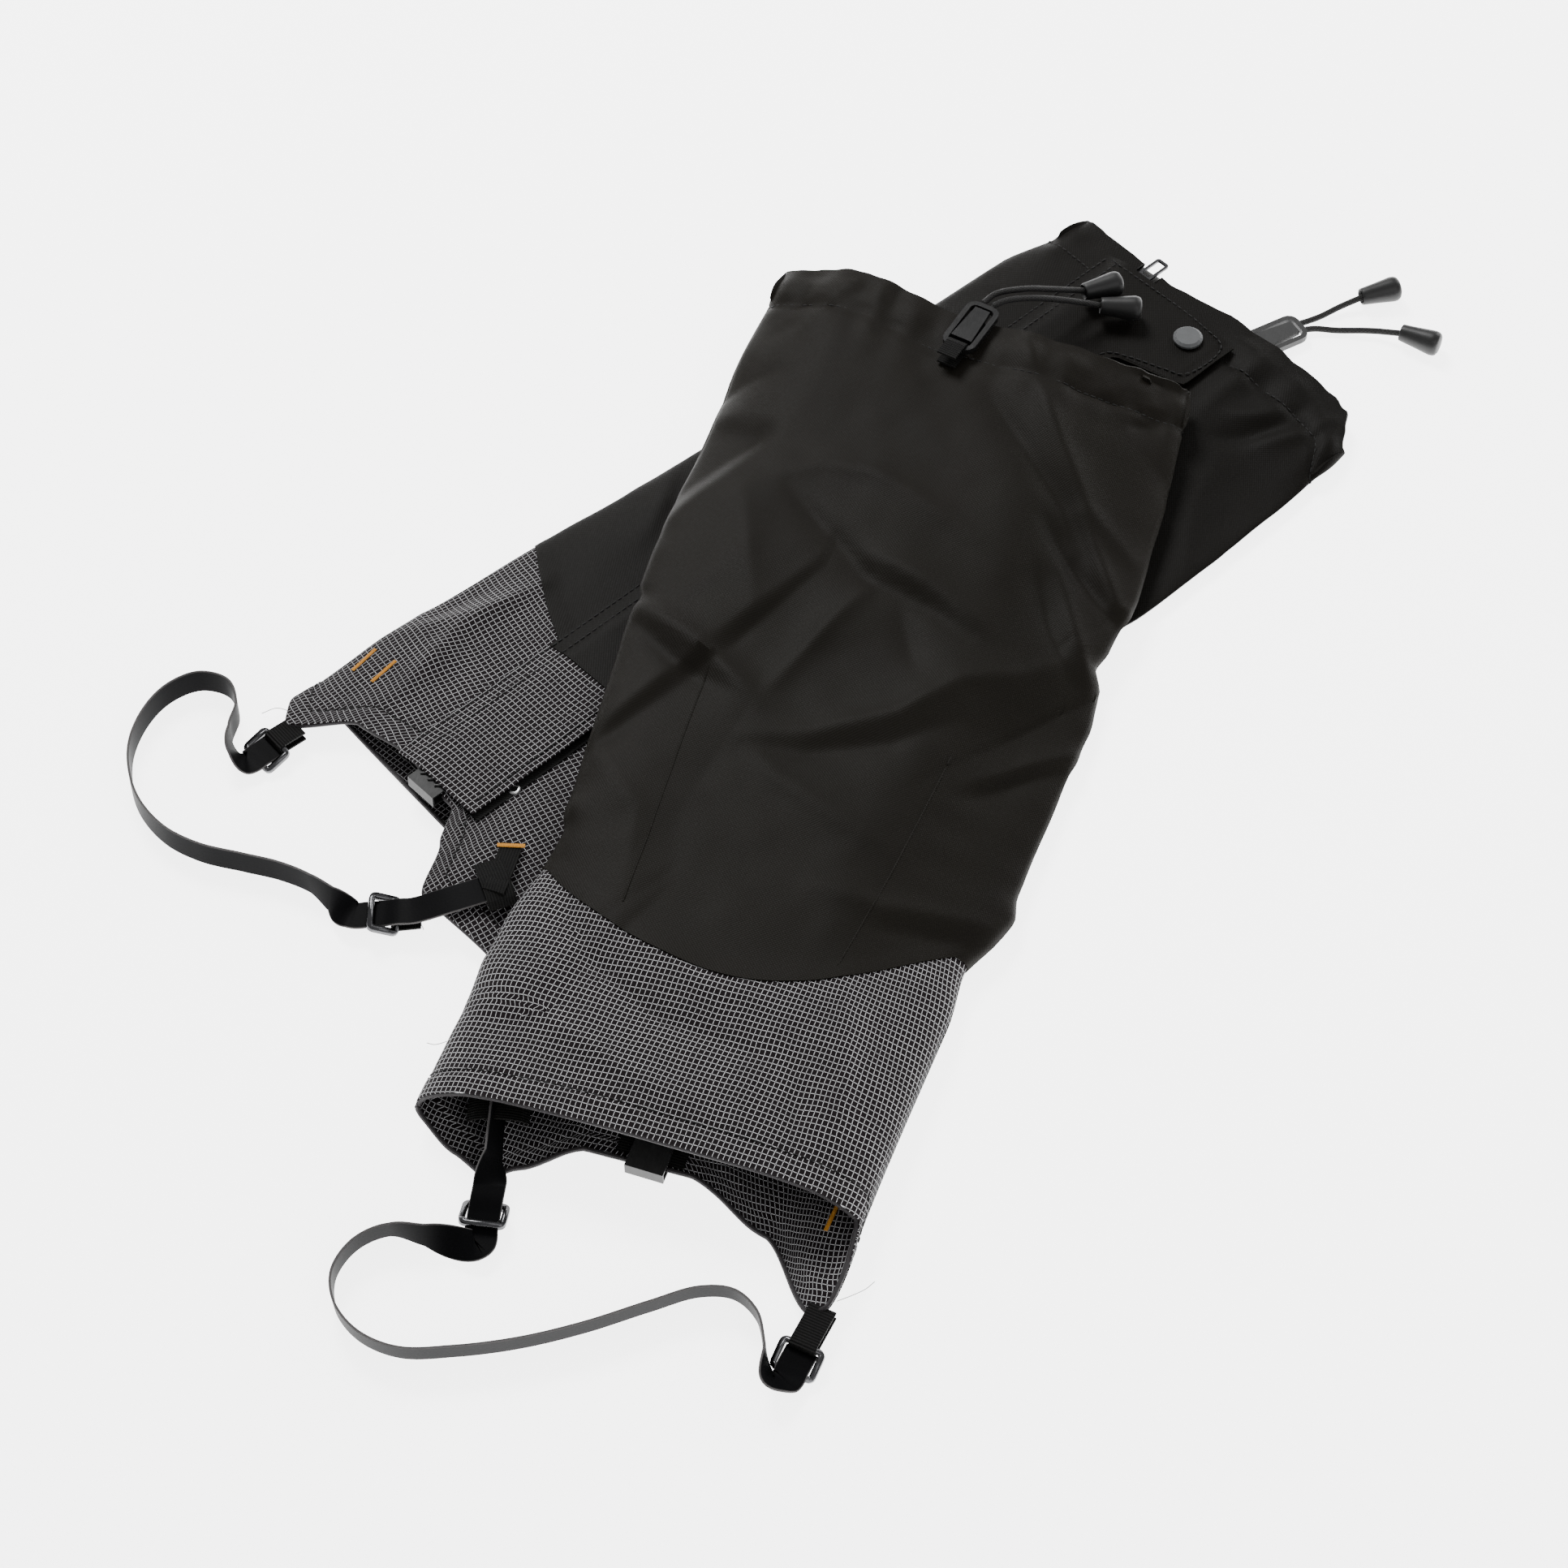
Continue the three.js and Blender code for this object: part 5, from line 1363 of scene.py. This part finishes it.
seam_line("over_dart_left", over, [(-48, 232), (-46, 190), (-43, 140), (-41, 104)], False)
seam_line("over_dart_right", over, [(61, 220), (58, 180), (54, 135), (50, 102)], False)
seam_line("under_panel_seam", under, [(-46, 362), (-50, 380), (-54, 400), (-64, 426)], True, 0.35)

# %% [markdown]
# ## Bar tacks
# A bar tack is a machine's dense zigzag. Twenty-two thin stitches side by side give its ribbed look, and the same
# helper makes those inside the mouth, where the thread lies on the cloth's inner face.

# %% Bar tacks
TACK_THREADS, TACK_WIDTH, TACK_THREAD_WIDTH = 22, 0.0017, 0.00075


def bar_tack(name, gaiter, a, b, proud=0.2, side=1):
    """Thin stitches side by side from a to b. side is -1 on the inner face of the cloth."""
    x, y = np.linspace(a[0], b[0], TACK_THREADS), np.linspace(a[1], b[1], TACK_THREADS)
    spots, normals = spot_on(gaiter, x, y, True)
    across = np.cross(np.gradient(spots, axis=0), normals)
    return stitches(name, spots + normals * proud * MM, across, side * normals, TACK_WIDTH, TACK_THREAD_WIDTH,
                    ORANGE_THREAD)


bar_tack("under_tack_1", under, (-85, 17), (-87, 31))
bar_tack("under_tack_2", under, (-74, 19), (-76, 33))

# %% [markdown]
# ## Small things at the closures
# A snap near the hem shows its ring beside the flap's edge, and the lace hook has three raised bars that keep
# it from sliding off the lace.

# %% Low snaps and hook bars
SNAP_RING = [(0.4, 0.6), (2.2, 0.6), (2.6, 1.5), (3.6, 1.7), (4.4, 1.2), (4.7, 0.3), (4.4, 0)]
SNAP_SCALE = 0.62
for gaiter in (over, under):
    ring = turned_piece(f"{gaiter.name}_low_snap", SNAP_RING, 24, BRIGHT_METAL)
    smooth_piece(ring, 40)
    spot = Matrix.Translation((26.5, 20, 0.6)) @ Matrix.Scale(SNAP_SCALE / MM, 4)
    place_mesh(ring, closure_matrix(gaiter) @ spot)
    finish_piece(ring, "gaiters")
    for number, x in enumerate((-4.5, 0, 4.5)):
        bow = [(x - 1, -3.6, 2.75), (x + 0.6, -1.5, 2.95), (x + 0.6, 1.5, 2.95), (x - 1, 3.6, 2.75)]
        line, _ = spline(bow, 16)
        bar = tube(f"{gaiter.name}_hook_bar_{number + 1}", in_closure(gaiter, line), 0.55 * MM, 10, HOOK_METAL)
        finish_piece(bar, "gaiters")

# %% [markdown]
# ## Stout buckles
# A buckle is cast, so its bars are thick and its corners round. The CAD ring is copied, its loose triangles are
# merged, and the copy is thickened along its normals and stands in for the plain ring.

# %% Stout buckles
BAR_GROWTH = 0.42 * MM


def stout_buckle(name):
    """The CAD ring, with its loose triangles merged and its bars thickened."""
    ring = bpy.data.objects[name].copy()
    ring.data = ring.data.copy()
    ring.name = f"{name}_ring"
    bpy.context.collection.objects.link(ring)
    in_edit_mode(ring, (bpy.ops.mesh.remove_doubles, {"threshold": 0.02 * MM}),
                 (bpy.ops.transform.shrink_fatten, {"value": BAR_GROWTH}))
    smooth_piece(ring, 60)
    ring.data.materials.clear()
    ring.data.materials.append(GUNMETAL)
    return finish_piece(ring, "gaiters", (name,))


for gaiter in (over, under):
    for hand in ("left", "right"):
        stout_buckle(f"{gaiter.name}_buckle_{hand}")

# %% [markdown]
# ## The zip's end box
# A small metal block closes the zip's lower end. It is a cube with bevelled edges, flattened and set in the closure.

# %% Zip end box
deselect()
BOX_PLACE, BOX_SIZE = (-11, 1.0, 2.6), (6.5, 7.5, 1.1)
bpy.ops.mesh.primitive_cube_add(size=1)
block = bpy.context.object
block.name = "over_zip_end_box"
in_edit_mode(block, (bpy.ops.mesh.bevel, {"offset": 0.12, "segments": 3, "affect": "EDGES"}))
smooth_piece(block, 40)
block.data.materials.append(BRIGHT_METAL)
place_mesh(block, closure_matrix(over) @ Matrix.Translation(BOX_PLACE) @ Matrix.Diagonal((*BOX_SIZE, 1)))
finish_piece(block, "gaiters")

# %% [markdown]
# ## Tape under the flap, and the last tacks
# A black tape is sewn under the flap's free edge and shows beside it as a dark line. The keeper is held by one orange
# tack at its end, and the ears of the over gaiter carry theirs inside, where the mouth shows them.

# %% Edge tape and tacks
TAPE = webbing_finish("edge tape", 0.0)
for gaiter in (over, under):
    y = np.linspace(-2, 128, 60)[None, :]
    x = np.linspace(19, 28.6, 6)[:, None] + 0.4 * ripple(y, 0 * y, 20, 7)
    z = 0.95 + 0.25 * ripple(x, y, 15, 6)
    points = in_closure(gaiter, np.stack([x, y + 0 * x, z], axis=-1))
    flat = np.stack([x, y + 0 * x], axis=-1) * MM
    tape = cloth_sheet(f"{gaiter.name}_edge_tape", points, flat, TAPE, 0.5)
    finish_piece(tape, "gaiters")


bar_tack("over_tack_1", over, (-63, 10), (-61, 23), -CLOTH - 0.2, -1)
bar_tack("over_tack_2", over, (79, -3), (80, 10), -CLOTH - 0.2, -1)
line, _ = spline([(31, 6.5, 13.1), (38.5, 14.5, 13.3)], TACK_THREADS)
facing = np.tile([0.0, 0.0, 1.0], (TACK_THREADS, 1))
spots = to_world(under, line)
stitches("under_keeper_tack", spots, np.cross(np.gradient(spots, axis=0), facing), facing, 0.0019,
         TACK_THREAD_WIDTH, ORANGE_THREAD)

# %% [markdown]
# ## The keeper's band
# A short band of webbing runs from its orange tack to the keeper round the strap. It is a narrow sheet
# along a spline, with the ribs of its finish turned across it.

# %% Band from the tack to the keeper
line, _ = spline([(33.5, 11.5, 12.3), (37, 7.5, 12.5), (42, 1, 13.4), (47.5, -6, 15.2), (50, -10, 15.2)], 24)
BAND_HALF_WIDTH, BAND_LENGTH = 4.6, 0.028
side = unit(np.cross(unit(np.gradient(line, axis=0)), [0, 0, 1]))
across = np.linspace(-BAND_HALF_WIDTH, BAND_HALF_WIDTH, 8)
band = to_world(under, line[None] + side[None] * across[:, None, None])
flat = np.stack(np.meshgrid(across * MM, np.linspace(0, BAND_LENGTH, 24), indexing="ij"), axis=-1)
piece = cloth_sheet("under_keeper_band", band, flat, webbing_finish("keeper webbing", math.radians(-85)), 0.9)
finish_piece(piece, "gaiters")

# %% [markdown]
# ## Loose threads
# A few cut ends of thread are left at the hems, as on any sewn thing. Each is a fine tube along a short curve.

# %% Threads
THREADS = [
    (over, [(92, -30, 2), (97, -27, 4), (101, -22, 3), (103, -17, 1.5)]),
    (over, [(-86, 30, 14), (-92, 26, 13), (-97, 28, 9)]),
    (under, [(-88, -14, 2), (-93, -18, 3), (-96, -24, 1.2)]),
    (under, [(30, -30, 3), (33, -36, 3.5), (39, -38, 1.2)]),
]
for number, (gaiter, stops) in enumerate(THREADS):
    line, _ = spline(stops, 30)
    thread = tube(f"{gaiter.name}_loose_thread_{number + 1}", to_world(gaiter, line), 0.16 * MM, 6, PALE_THREAD)
    finish_piece(thread, "gaiters")
print("threads:", len(THREADS))
